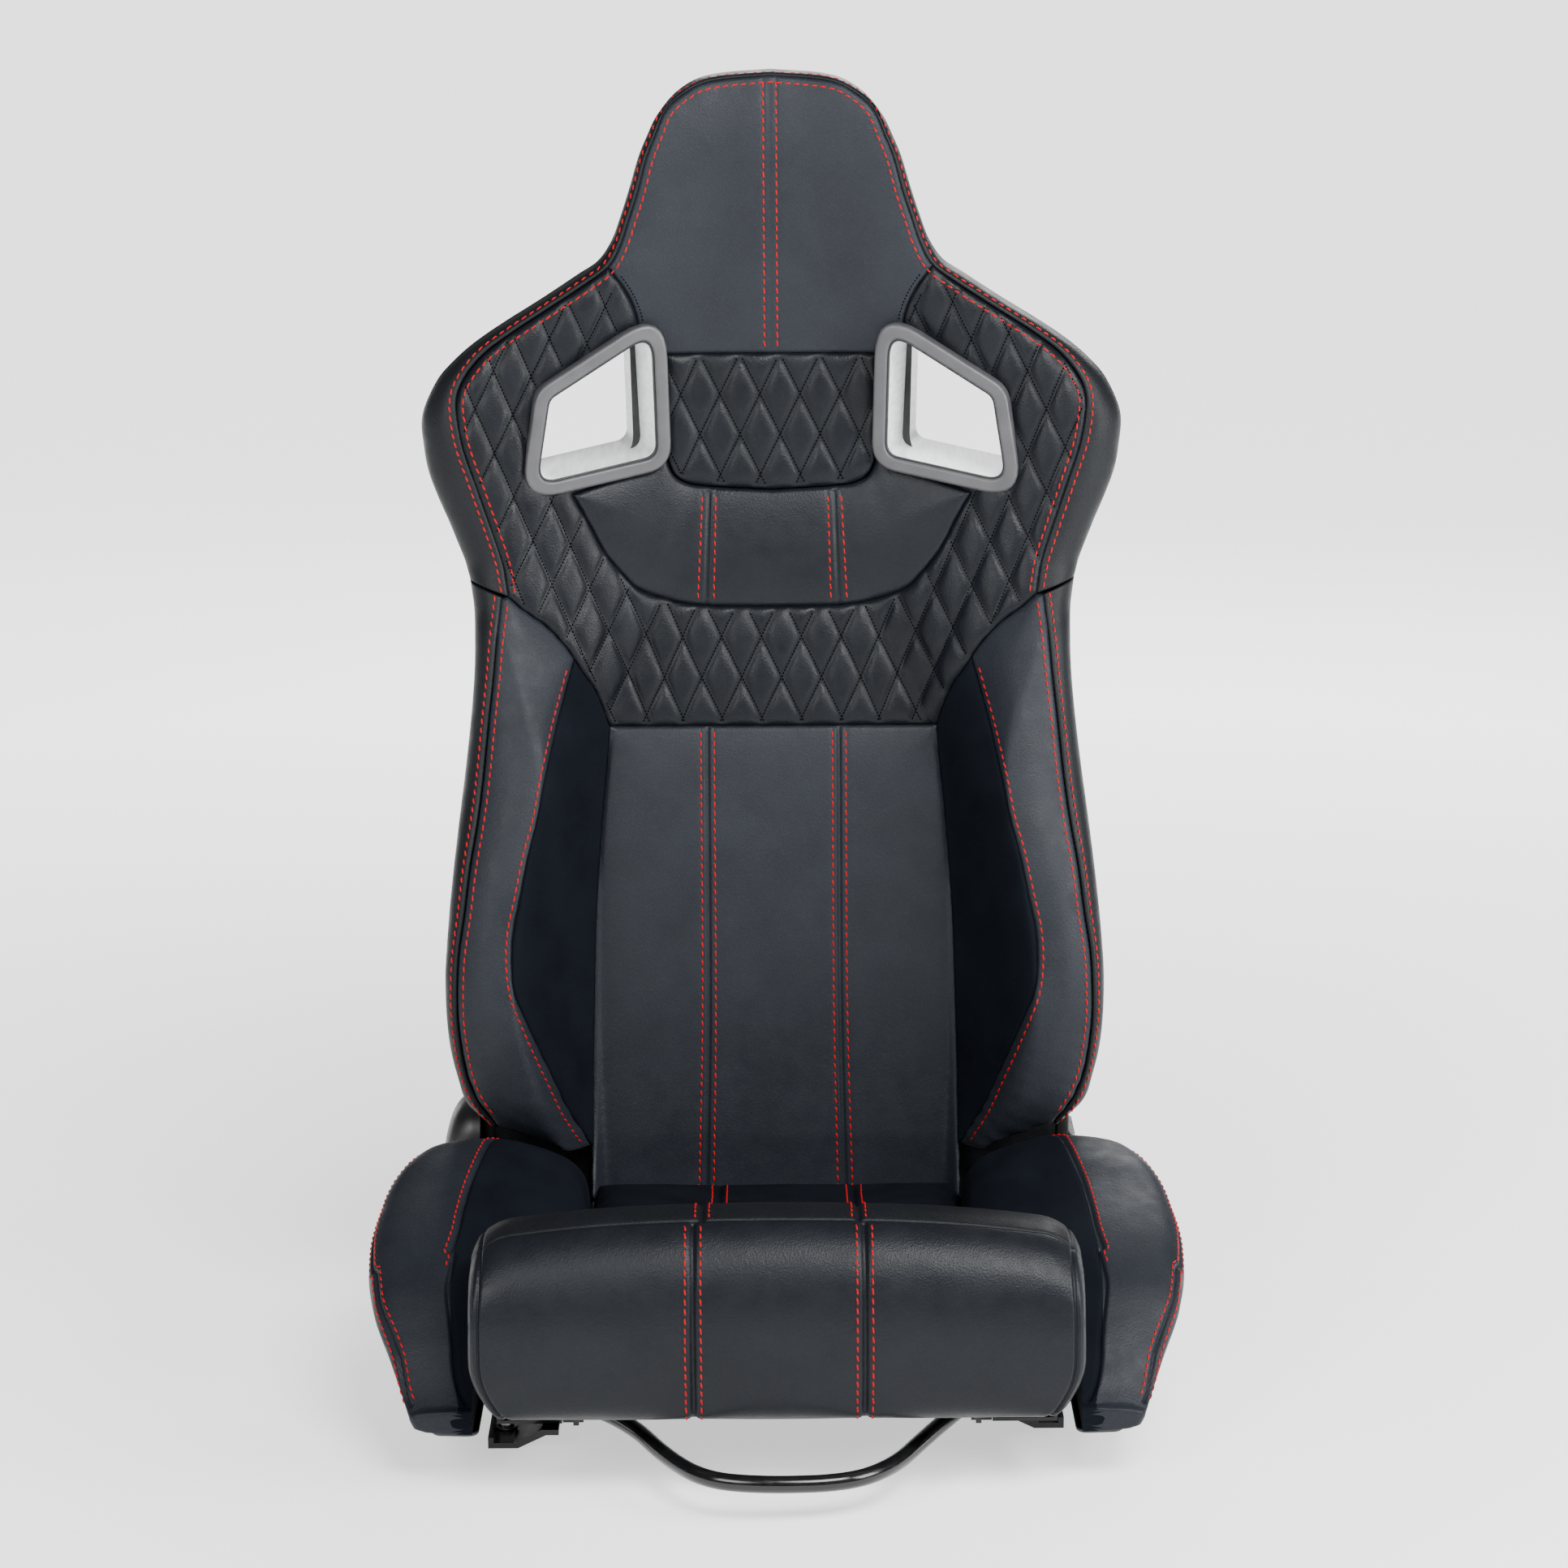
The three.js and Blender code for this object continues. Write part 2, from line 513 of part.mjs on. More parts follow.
function addBaseFoam() {
  const top = CUSHION_TOP;
  const cushion = prismAlongX([[top.at(-1)[0], CUSHION_BOTTOM], [top[0][0], CUSHION_BOTTOM], ...top],
    -CUSHION_HALF, CUSHION_HALF, 4);
  add('seat_cushion', cushion, 'leather');
  add('thigh_roll', thighRoll(), 'leather');
  for (const [name, side] of Object.entries(SIDES)) add(`seat_bolster_${name}`, baseBolster(side), 'leather');
}

// Thigh roll: one profile carried across the seat, lower towards the ends, with rounded ends.
function thighRoll() {
  const curve = new THREE.SplineCurve(ROLL_PROFILE.map((p) => new THREE.Vector2(...p)));
  const profile = curve.getPoints(26).reverse();
  const middle = ROLL_MIDDLE;
  const rings = ROLL_STATIONS.map((t) => {
    const size = 1 - 0.16 * Math.max(0, (Math.abs(t) - 0.9) / 0.1) ** 2;
    return profile.map((p) => {
      const z = middle.z + (p.y - middle.z) * size;
      const lowered = ROLL_CROWN * t * t * Math.max(0, (z - middle.z) / ROLL_HALF_HEIGHT);
      return [t * ROLL_HALF, middle.y + (p.x - middle.y) * size, z - lowered];
    });
  });
  const pan = box([-195, 195], [-186, 120], [0, PAN_Z + 14]);
  return loft(rings).subtract(pan);
}

// One cross-section of a base side bolster, anticlockwise from its inner bottom corner.
function bolsterRing({ y, top, outer }) {
  const low = BOLSTER_BASE_BOTTOM;
  const inner = BOLSTER_BASE_INNER;
  const foot = outer - 34 * Math.min(1, (top - low) / 100);
  const waist = low + (top - low) * 0.66;
  const drop = Math.min(1, (top - low) / 90);
  return [
    [inner, low], [foot, low], [outer, waist], [outer - 3, top - 14 * drop], [outer - 14, top - 5 * drop],
    [outer - 34, top - drop], [202, top], [172, top - 8 * drop], [150, top - 18 * drop],
    [inner, top - 36 * drop],
  ].map(([x, z]) => [x, y, z]);
}

function baseBolster(side) {
  const rings = BOLSTER_BASE.map(bolsterRing);
  const placed = rings.map((ring) => ring.map(([x, y, z]) => [side * x, y, z]));
  const body = loft(side > 0 ? placed : placed.toReversed());
  const railRoom = box([side * 100, side * RAIL_CLEAR_X], [-300, 200], [0, PAN_Z + 6]);
  const rollRoom = box([side * 100, side * (ROLL_HALF + GAP)], [-300, -121], [0, 210]);
  return body.subtract(railRoom).subtract(rollRoom);
}

function addPan() {
  const wall = 2.5;
  const floor = box([-186, 186], [-184, 84], [PAN_Z, PAN_Z + wall]);
  const lips = [-1, 1].map((s) => box([s * 186, s * (186 + wall)], [-184, 84], [PAN_Z, PAN_Z + 5]));
  add('seat_pan', join(floor, ...lips.map((lip) => lip.add(floor))), 'blackMetal');
}

// ---------------------------------------------------------------- slide rails

function railProfile() {
  const { width, height, wall, lip } = LOWER_RAIL;
  const [h, b, t] = [width / 2, RAIL_BOTTOM, RAIL_BOTTOM + height];
  return [[-h, b], [h, b], [h, t], [h - lip, t], [h - lip, t - wall], [h - wall, t - wall],
    [h - wall, b + wall], [-h + wall, b + wall], [-h + wall, t - wall], [-h + lip, t - wall],
    [-h + lip, t], [-h, t]];
}

function upperProfile() {
  const foot = RAIL_BOTTOM + 7;
  const top = UPPER_RAIL_TOP;
  return [[-17, foot], [17, foot], [17, foot + 4], [6, foot + 4], [6, top - 4], [20, top - 4], [20, top],
    [-20, top], [-20, top - 4], [-6, top - 4], [-6, foot + 4], [-17, foot + 4]];
}

function addRails() {
  const [y0, y1] = [RAIL_Y - RAIL_LENGTH / 2, RAIL_Y + RAIL_LENGTH / 2];
  for (const [name, side] of Object.entries(SIDES)) {
    const shift = (points) => points.map(([x, z]) => [x + side * RAIL_X, z]);
    add(`lower_rail_${name}`, prismAlongY(shift(railProfile()), y0, y1), 'blackMetal');
    const along = [BAR_PIVOT.y - 18, BAR_PIVOT.y + 18];
    const ear = box([side * 147, side * 150.5], along, [BAR_Z - 9, UPPER_RAIL_TOP]);
    const bridge = box([side * 147, side * 160], along, [UPPER_RAIL_TOP - 4, UPPER_RAIL_TOP]);
    const pinHole = rodAlongX(side * 140, side * 160, BAR_PIVOT.y, BAR_Z, 4 + GAP);
    const upper = join(prismAlongY(shift(upperProfile()), y0 + 4, y1 - 4), ear, bridge).subtract(pinHole);
    add(`upper_rail_${name}`, upper, 'blackMetal');
    add(`roller_cage_${name}`, rollerCage(side), 'plastic');
    add(`front_foot_${name}`, foot(side, FRONT_FOOT_Y[name]), 'blackMetal');
    add(`rear_foot_${name}`, foot(side, REAR_FOOT_Y), 'blackMetal');
    add(`lock_strip_${name}`, lockStrip(side, y0, y1), 'steel');
  }
}

// Cage of rollers under the upper rail, running on the lower rail's floor.
function rollerCage(side) {
  const radius = 2;
  const z = RAIL_BOTTOM + LOWER_RAIL.wall + radius + GAP / 2;
  const strap = box([side * RAIL_X - 4, side * RAIL_X + 4], [RAIL_Y - 125, RAIL_Y + 125], [z - 0.6, z + 0.6]);
  return [-120, 0, 120].reduce((cage, dy) => (
    cage.add(rodAlongX(side * RAIL_X - 12, side * RAIL_X + 12, RAIL_Y + dy, z, radius, 10))), strap);
}

// Bent foot plate: flat on the floor outboard, then sloping up under the rail, with a bolt hole.
function foot(side, y) {
  const p = FOOT_PLATE;
  const top = RAIL_BOTTOM - GAP;
  const profile = [[204, 0], [204, p + 4], [200, p + 4], [200, p], [186, p], [166, top], [154, top],
    [154, top - p], [163, top - p], [183, 0]];
  const placed = profile.map(([x, z]) => [side * x, z]);
  const plate = prismAlongY(placed, y - FOOT_LENGTH / 2, y + FOOT_LENGTH / 2);
  return plate.subtract(rodAlongZ(side * 193, y + 8, -5, 10, 4.2));
}

// Notched strip beside each lower rail, which the slide latch locks into.
function lockStrip(side, y0, y1) {
  const [x0, x1] = [side * 137, side * (RAIL_X - LOWER_RAIL.width / 2 - GAP)];
  let strip = box([x0, x1], [y0 + 2, y1 - 10], [RAIL_BOTTOM, RAIL_BOTTOM + 2.5]);
  for (let y = y0 + 12; y < y1 - 30; y += 24) {
    strip = strip.subtract(box([side * 139, side * 145], [y, y + 12], [0, 40]));
  }
  return strip;
}

// ---------------------------------------------------------------- slide release bar

function addTowelBar() {
  const bar = [
    [-BAR_PIVOT.x, BAR_PIVOT.y - 10], [-134, -138], [-113, -163], [-96, -190], [-80, -225], [-66, -251],
    [-53, -268], [-37, -279], [-15, -284], [10, -285], [35, -282.5], [55, -275], [71, -261], [84, -242],
    [98, -212], [113, -180], [134, -138], [BAR_PIVOT.x, BAR_PIVOT.y - 10],
  ].map(([x, y]) => [x, y, BAR_Z]);
  const across = (x0, x1, radius) => Object.values(SIDES).map((side) => (
    rodAlongX(side * x0, side * x1, BAR_PIVOT.y, BAR_Z, radius)));
  const eyes = across(137.5, 144.5, 10);
  const holes = across(130, 146, 4 + GAP);
  const body = join(tube(bar, BAR_RADIUS, 40, 10), ...eyes);
  add('towel_bar', holes.reduce((a, b) => a.subtract(b), body), 'blackMetal');
  for (const [name, side] of Object.entries(SIDES)) {
    const y = BAR_PIVOT.y;
    const pawl = [[y - 11, 22.6], [y - 40, 22.6], [y - 40, 18], [y - 33, 18], [y - 33, 20], [y - 25, 20],
      [y - 25, 18], [y - 18, 18], [y - 18, 20], [y - 11, 20]];
    const [x0, x1] = [side * 139.5, side * 143.5].sort((a, b) => a - b);
    add(`latch_pawl_${name}`, prismAlongX(pawl, x0, x1), 'steel');
    add(`bar_pivot_pin_${name}`, rodAlongX(side * 134, side * 151.5, BAR_PIVOT.y, BAR_Z, 4), 'steel');
  }
}

// ---------------------------------------------------------------- assembly

addShell();
addBackFoam();
for (const [name, side] of Object.entries(SIDES)) addHarnessTrim(name, side);
addBackFrame();
addRecliner();
addReclinerCover();
addRecliningLever();
addBaseFoam();
addPan();
addRails();
addTowelBar();

export default seat;
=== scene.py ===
"""Racing seat: the detailed visual model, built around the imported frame.

Shapes are worked out in millimetres in the frame's own axes (the seat faces -Y, the floor is z = 0,
the sitter's left is +X) and become metres when their mesh is made.
"""

import math

import bmesh
import bpy
import numpy as np
from mathutils import Matrix, Vector
from mathutils.bvhtree import BVHTree
from mathutils.geometry import delaunay_2d_cdt
from mathutils.kdtree import KDTree


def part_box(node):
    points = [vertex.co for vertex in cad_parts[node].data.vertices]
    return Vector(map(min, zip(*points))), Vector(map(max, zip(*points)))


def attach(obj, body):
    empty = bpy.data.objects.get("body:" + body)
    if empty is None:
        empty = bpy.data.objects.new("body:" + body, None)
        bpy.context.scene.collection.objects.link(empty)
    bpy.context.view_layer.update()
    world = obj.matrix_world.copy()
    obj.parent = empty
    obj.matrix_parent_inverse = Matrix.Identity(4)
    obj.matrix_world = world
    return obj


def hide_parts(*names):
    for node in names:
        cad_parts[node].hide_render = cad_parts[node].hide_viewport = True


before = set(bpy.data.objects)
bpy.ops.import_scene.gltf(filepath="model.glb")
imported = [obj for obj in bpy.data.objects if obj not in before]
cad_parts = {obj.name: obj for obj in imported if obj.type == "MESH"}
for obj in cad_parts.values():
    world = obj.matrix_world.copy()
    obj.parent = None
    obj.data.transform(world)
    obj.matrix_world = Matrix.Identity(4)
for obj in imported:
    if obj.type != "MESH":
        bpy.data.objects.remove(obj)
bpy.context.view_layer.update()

MM = 0.001
SIDES = {"left": 1, "right": -1}
rng = np.random.default_rng(7)

# ---------------------------------------------------------------- sizes shared with the CAD

# Backrest front: height, depth of the centre line, half width of the flat middle,
# half width and forward rise of the bolster or wing crest.
BACK_STATIONS = [
    (100, 97, 128, 130, 20), (140, 102, 129, 150, 45), (200, 112, 130, 178, 78),
    (270, 124, 131, 192, 92), (350, 140, 130, 184, 88), (430, 158, 124, 172, 74),
    (500, 172, 100, 190, 60), (560, 184, 70, 215, 50), (620, 193, 60, 232, 46),
    (680, 200, 55, 236, 43), (740, 204, 50, 190, 30), (800, 205, 40, 120, 16),
    (870, 206, 30, 106, 10), (935, 214, 20, 80, 6),
]
CREST_FALLOFF = 0.004
PAD_DEPTH = 38
BACK_DOME = 0.0006
SHELL_DEPTH = 38

# Seam between the front panels and the side band, paired with the silhouette beside it:
# x and z on the seam, then x and z on the silhouette, from the top centre down.
UPPER_BAND = [
    (0, 933.8, 0, 936), (44, 929.4, 43, 932.4), (63, 921, 66.5, 922), (76.8, 908.5, 82.5, 905),
    (84.5, 891, 91, 888), (91.5, 873.5, 97, 873), (97.6, 850.5, 104, 850), (104.6, 829.6, 111, 829),
    (111, 811, 117.5, 812), (120, 795.5, 128, 797), (140, 781, 143.8, 786.5), (167, 764, 170.5, 769.5),
    (194, 747, 198, 753), (214, 732, 220, 738.5), (227, 716, 236, 725), (232.5, 702, 249, 710),
    (232, 686, 259.5, 686), (228, 665, 258.8, 664), (219, 638, 254, 640), (208, 606, 239.8, 606),
    (200, 582, 230, 582), (197.5, 569, 227.5, 574), (195.6, 557.3, 225.4, 566.9),
]
LOWER_BAND = [
    (200.5, 556.9, 225.3, 566.7), (202, 545, 222.4, 546), (204.4, 525, 221.6, 525), (206.5, 501, 221.8, 501),
    (210, 469, 224.2, 469), (214, 430, 228.6, 430), (218, 400, 232.4, 400), (223.5, 368, 236.2, 368),
    (227.5, 336, 239.6, 336), (231.5, 310, 241.6, 310), (233, 288, 242.8, 288), (233, 262, 242.2, 262),
    (230.5, 236, 240, 236), (226.5, 214, 235, 212), (219, 195, 229, 192), (206, 176, 209.5, 173),
]
HEAD_SIDE_SEAM = [(120, 795.5), (107, 777), (100, 761), (98, 749), (98, 729)]
QUILT_TOP = [(79, 729), (79, 662), (77, 650), (72, 639.5), (64, 634), (50, 631), (0, 628)]
BIB_SHOULDER = [(148, 628), (130, 634), (112, 640), (96, 645.5), (83.5, 651.5), (80, 664)]
BIB_TOP = [(80, 664), (78.2, 650), (73, 638.6), (64.5, 633), (50, 630), (0, 627)]
BIB_EDGE = [(148, 628), (138, 610), (125, 585), (111, 567), (99, 555), (76, 546), (50, 542), (0, 541)]
YOKE_EDGE = [(195.5, 557.5), (185, 548), (168, 535), (153, 518), (142, 500), (131, 481), (122, 453)]
PANEL_EDGE = [(122, 453), (125, 420), (128, 390), (133, 317), (135, 250), (136, 190), (136, 104)]
BOLSTER_SEAM = [
    (147.5, 508), (153, 489), (160, 464), (168, 429), (173, 403), (180, 378), (186, 350), (191.5, 324),
    (192.5, 301), (190, 281), (182.5, 259), (174.5, 237), (165, 212), (154.5, 184), (146, 166), (138, 148),
]
BOLSTER_FOOT = [(206, 176), (190, 171), (170, 163), (152, 153), (138, 148)]

HOLE_CORNERS = [(91, 746), (88.5, 655), (176, 638), (166, 700)]
HOLE_CENTRE = (130, 684)
HOLE_TILT = math.radians(15)
HOLE_RADIUS = 11
BEZEL_WIDTH = 11.5
SLEEVE_WALL = 2.2
SHELL_HOLE_MARGIN = 9.0

SHELL_EDGE = [
    (0, 931), (40, 927.5), (64, 916.5), (81, 898), (92.5, 871), (102.5, 841.5), (112.5, 813), (126, 792),
    (158, 771), (207.5, 741.5), (240.5, 713.5), (256, 683), (252, 646), (235, 605), (223, 573), (218, 540),
    (218, 500), (223, 440), (230, 385), (236, 330), (239, 277), (236.5, 236),
]
SHELL_NOTCH = [(234, 218), (195, 218), (195, 152), (187, 141)]

CUSHION_HALF = 136.5
CUSHION_TOP = [(-120, 137), (-60, 129), (0, 124), (60, 118), (92, 116)]
CUSHION_BOTTOM = 53
ROLL_HALF = 209
ROLL_PROFILE = [(-125, 62), (-242, 57), (-257, 75), (-263, 118), (-256, 160), (-236, 189),
                (-208, 200), (-178, 194), (-152, 182), (-133, 164), (-122, 138)]
ROLL_MIDDLE = (-190, 122)
ROLL_HALF_HEIGHT = 78
ROLL_CROWN = 16
ROLL_SEAM_Y = -222
BOLSTER_BASE = [
    (76, 120, 240), (66, 152, 246), (48, 168, 256), (30, 173, 268), (0, 171, 279), (-40, 161, 288),
    (-80, 151, 291), (-105, 143, 290), (-140, 127, 284), (-175, 98, 270), (-205, 66, 257), (-218, 54, 252),
]
BOLSTER_INNER = 137.5
BOLSTER_LOW = 38
BOLSTER_COLUMNS = 170
INNER_ROW_END = -134
PIVOT = (128, 115)
BAR_Z = 29
BAR_RADIUS = 6
BAR_PIVOT = (141, -110)
BAR_PATH = [(-141, -112), (-141, -120), (-134, -138), (-113, -163), (-96, -190), (-80, -225), (-66, -251),
            (-53, -268), (-37, -279), (-15, -284), (10, -285), (35, -282.5), (55, -275), (71, -261),
            (84, -242), (98, -212), (113, -180), (134, -138), (141, -120), (141, -112)]
LEVER_X = (-261.5, -252)
COVER_INNER_X = -222.4

# Quilting: diamonds between two families of stitched lines, closer together on the wings.
DIAMOND = (30, 60)
DIAMOND_FOOT = 699
QUILT_SHIFT = -8.3
QUILT_PUFF = 3.4
QUILT_FULLNESS = 3.2
QUILT_TILT = 0.18
STITCH_OFFSET = 5.3      # red row, from its seam
HEAD_ROW_X = 4.8
HEAD_ROW = [(HEAD_ROW_X, 931), (HEAD_ROW_X, 731)]
BIB_ROWS = ((42, 44), (52, 56))      # x of each row at the bib's top and foot
END_RINGS = 9            # extra rings that close each end of a lofted pad
WING_START = 60
WING_STRETCH = 1.09

# ---------------------------------------------------------------- curves and surfaces


def smooth(pairs):
    """Curve through (position, value) pairs with no overshoot."""
    x, y = np.array(sorted(pairs), float).T
    width = np.diff(x)
    slope = np.diff(y) / width
    before, after = slope[:-1], slope[1:]
    same_way = before * after > 0
    mean = 2 * before * after / np.where(same_way, before + after, 1)
    tangent = np.concatenate([slope[:1], np.where(same_way, mean, 0), slope[-1:]])

    def at(q):
        i = np.clip(np.searchsorted(x, q, side="right") - 1, 0, len(width) - 1)
        t = np.clip((q - x[i]) / width[i], 0, 1)
        s = 1 - t
        return (s * s * (1 + 2 * t) * y[i] + t * t * (3 - 2 * t) * y[i + 1]
                + t * s * s * width[i] * tangent[i] - t * t * s * width[i] * tangent[i + 1])

    return at


def lengths(points):
    """Distance walked along a line, at each of its points."""
    return np.concatenate([[0], np.cumsum(np.linalg.norm(np.diff(points, axis=0), axis=1))])


def between(place, along, values):
    """Rows of values, interpolated at places along a line."""
    return np.stack([np.interp(place, along, column) for column in values.T], 1)


def resample(points, step):
    """The same line with its points about step apart."""
    points = np.asarray(points, float)
    along = lengths(points)
    count = max(2, int(round(along[-1] / step)) + 1)
    return between(np.linspace(0, along[-1], count), along, points)


def signed_area(outline):
    """Twice the area inside an outline, negative when it runs clockwise."""
    x, z = outline.T
    return np.sum(x * np.roll(z, -1) - np.roll(x, -1) * z)


def curve(points, step=2.5, closed=False):
    """Smooth line through the points."""
    p = np.asarray(points, float)
    q = np.vstack([p[-1:], p, p[:2]]) if closed else np.vstack([2 * p[0] - p[1], p, 2 * p[-1] - p[-2]])
    fine = []
    for a, b, c, d in zip(q, q[1:], q[2:], q[3:]):
        t = np.linspace(0, 1, 12, endpoint=False)[:, None]
        fine.append(0.5 * (2 * b + (c - a) * t + (2 * a - 5 * b + 4 * c - d) * t**2
                           + (3 * b - a - 3 * c + d) * t**3))
    fine.append(p[:1] if closed else p[-1:])
    return resample(np.vstack(fine), step)


def flip(points, side=-1):
    """Mirrored to the other side of the seat, for side -1."""
    points = np.asarray(points, float)
    return points * np.array([side] + [1] * (points.shape[1] - 1))


def ring(*lines):
    """One closed outline from lines that follow each other, with shared ends kept once."""
    merged = np.vstack(lines)
    gap = np.linalg.norm(merged - np.roll(merged, 1, 0), axis=1)
    outline = merged[gap > 0.2]
    return outline if signed_area(outline) > 0 else outline[::-1]


centre_depth, flat_half, crest_half, crest_rise = (
    smooth([(row[0], row[k]) for row in BACK_STATIONS]) for k in range(1, 5))


def back_front(x, z):
    """Depth of the backrest's front surface."""
    side = np.abs(x)
    t = np.clip((side - flat_half(z)) / (crest_half(z) - flat_half(z)), 0, 1)
    rise = (t + t * t * (3 - 2 * t)) / 2
    beyond = np.maximum(side - crest_half(z), 0)
    return centre_depth(z) - crest_rise(z) * rise + beyond**2 * CREST_FALLOFF


def foam_rear(x, z):
    return centre_depth(z) + PAD_DEPTH - BACK_DOME * np.square(x)


def shell_rear(x, z):
    return foam_rear(x, z) + SHELL_DEPTH


def lift(points, base=back_front):
    """Points in x and z, placed on a surface given as depth."""
    x, z = np.asarray(points, float).T
    return np.stack([x, base(x, z), z], 1)


def base_normal(points, base, facing):
    x, z = np.asarray(points, float).T
    reach = 2.0
    slope_x = (base(x + reach, z) - base(x - reach, z)) / (2 * reach)
    slope_z = (base(x, z + reach) - base(x, z - reach)) / (2 * reach)
    normal = np.stack([slope_x, -np.ones_like(x), slope_z], 1) * -facing
    return normal / np.linalg.norm(normal, axis=1, keepdims=True)


def tree_of(points):
    """Search tree over points."""
    tree = KDTree(len(points))
    for i, p in enumerate(points):
        tree.insert(p, i)
    tree.balance()
    return tree


def nearest(points, line):
    """Distance from each point to the nearest point of a dense line."""
    if points.shape[1] == 2:
        points = np.insert(points, 1, 0, axis=1)
        line = np.insert(line, 1, 0, axis=1)
    tree = tree_of(line)
    return np.array([tree.find(p)[2] for p in points])


def inside(points, polygon):
    """True for the points inside a closed polygon."""
    x, z = points.T
    hit = np.zeros(len(points), bool)
    for (x0, z0), (x1, z1) in zip(polygon, np.roll(polygon, -1, 0)):
        if z0 != z1:
            crossing = x0 + (z - z0) * (x1 - x0) / (z1 - z0)
            hit ^= ((z0 > z) != (z1 > z)) & (x < crossing)
    return hit


def rolled(distance, radius):
    """Height of an edge that rolls down to its seam, for a distance from the seam."""
    within = np.clip(radius - distance, 0, radius)
    return np.sqrt(radius**2 - within**2) - radius


# ---------------------------------------------------------------- meshes


def build(name, points, faces, finish, body, slot, stands_for=(), fill=None, sharp=None):
    """A piece of the seat from points in millimetres, riding on a body."""
    mesh = bpy.data.meshes.new(name)
    mesh.from_pydata((np.asarray(points) * MM).tolist(), [], [list(map(int, f)) for f in faces])
    mesh.shade_smooth()
    if sharp:
        mesh.set_sharp_from_angle(angle=math.radians(sharp))
    mesh.materials.append(finish)
    piece = bpy.data.objects.new(name, mesh)
    bpy.context.scene.collection.objects.link(piece)
    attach(piece, body)
    if stands_for:
        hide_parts(*stands_for)
    return piece


def points_of(piece):
    """A piece's points in millimetres."""
    return np.array([v.co for v in piece.data.vertices]) / MM


def grid_faces(rows, columns):
    """Quads over a grid of points, row after row, with each row's end joined to its start."""
    r, c = np.meshgrid(np.arange(rows - 1), np.arange(columns), indexing="ij")
    nxt = (c + 1) % columns
    quads = np.stack([r * columns + c, r * columns + nxt, (r + 1) * columns + nxt, (r + 1) * columns + c], -1)
    return quads.reshape(-1, 4).tolist()


def merge(parts):
    """Several (points, faces) meshes as one."""
    points, faces, count = [], [], 0
    for p, f in parts:
        points.append(np.asarray(p, float))
        faces.extend([[i + count for i in face] for face in f])
        count += len(p)
    return np.vstack(points), faces


def turned(part):
    """The same mesh facing the other way."""
    points, faces = part
    return points, [list(reversed(f)) for f in faces]


def outward(piece):
    """Makes the normals of a closed piece face out."""
    work = bmesh.new()
    work.from_mesh(piece.data)
    bmesh.ops.recalc_face_normals(work, faces=work.faces)
    work.to_mesh(piece.data)
    work.free()
    return piece


def loft(rings):
    """A skin through matching closed rings of points, with flat ends."""
    rings = np.asarray(rings, float)
    rows, columns = rings.shape[:2]
    points = rings.reshape(-1, 3)
    faces = grid_faces(rows, columns)
    faces.append(list(range(columns))[::-1])
    faces.append(list(range((rows - 1) * columns, rows * columns)))
    return points, faces


def tube(path, radius, sides=14):
    """A round bar along a path."""
    path = np.asarray(path, float)
    tangent = np.gradient(path, axis=0)
    tangent /= np.linalg.norm(tangent, axis=1, keepdims=True)
    across = np.cross(tangent[0], (0.13, 0.2, 0.97))
    angle = np.arange(sides) * 2 * math.pi / sides
    rings = []
    for place, along in zip(path, tangent):
        across = across - along * (across @ along)
        across /= np.linalg.norm(across)
        other = np.cross(along, across)
        rings.append(place + radius * (np.cos(angle)[:, None] * across + np.sin(angle)[:, None] * other))
    for end, back in ((0, 1), (-1, -1)):
        tip = rings[end] * 0.6 + path[end] * 0.4 - tangent[end] * back * radius * 0.3
        rings = [tip] + rings if end == 0 else rings + [tip]
    return loft(rings)


def plate(outline, low, high, axis=0, bevel=1.5, steps=3):
    """A plate with rounded edges: an outline, run along an axis from low to high."""
    outline = np.asarray(outline, float)
    turn = 1 if signed_area(outline) > 0 else -1
    tangent = np.roll(outline, -1, 0) - np.roll(outline, 1, 0)
    tangent /= np.linalg.norm(tangent, axis=1, keepdims=True)
    inward = np.stack([-tangent[:, 1], tangent[:, 0]], 1) * turn
    angle = np.linspace(0, math.pi / 2, steps + 1)
    drop = [(bevel * (1 - math.sin(a)), bevel * (1 - math.cos(a))) for a in angle]
    levels = [(inset, low + rise) for inset, rise in drop]
    levels += [(inset, high - rise) for inset, rise in reversed(drop)]
    rings = []
    for inset, level in levels:
        flat = outline + inward * inset
        rings.append(np.insert(flat, axis, level, axis=1))
    return loft(rings)


def rounded(corners, radius, steps=8):
    """A polygon with its corners rounded."""
    corners = np.asarray(corners, float)
    out = []
    for before, p, after in zip(np.roll(corners, 1, 0), corners, np.roll(corners, -1, 0)):
        a = (before - p) / np.linalg.norm(before - p)
        b = (after - p) / np.linalg.norm(after - p)
        reach = radius / math.tan(math.acos(np.clip(a @ b, -1, 1)) / 2)
        start, end = p + a * reach, p + b * reach
        for t in np.linspace(0, 1, steps + 1):
            out.append((1 - t) ** 2 * start + 2 * t * (1 - t) * p + t * t * end)
    return np.array(out)


def grown(corners, distance):
    """A polygon with each side moved out by a distance."""
    corners = np.asarray(corners, float)
    a = corners - np.roll(corners, 1, 0)
    b = np.roll(corners, -1, 0) - corners
    a /= np.linalg.norm(a, axis=1, keepdims=True)
    b /= np.linalg.norm(b, axis=1, keepdims=True)
    normal = np.stack([a[:, 1] + b[:, 1], -a[:, 0] - b[:, 0]], 1) * np.sign(signed_area(corners))
    length = np.linalg.norm(normal, axis=1, keepdims=True)
    return corners + normal / length * distance / np.maximum(0.35, length / 2)


# ---------------------------------------------------------------- sewn panels

RIM_STEPS = (0.3, 0.8, 1.6, 2.8, 4.6)
CREASE_STEPS = (0, 0.8, 1.7, 3.0)
EDGE_RADIUS = 2.8


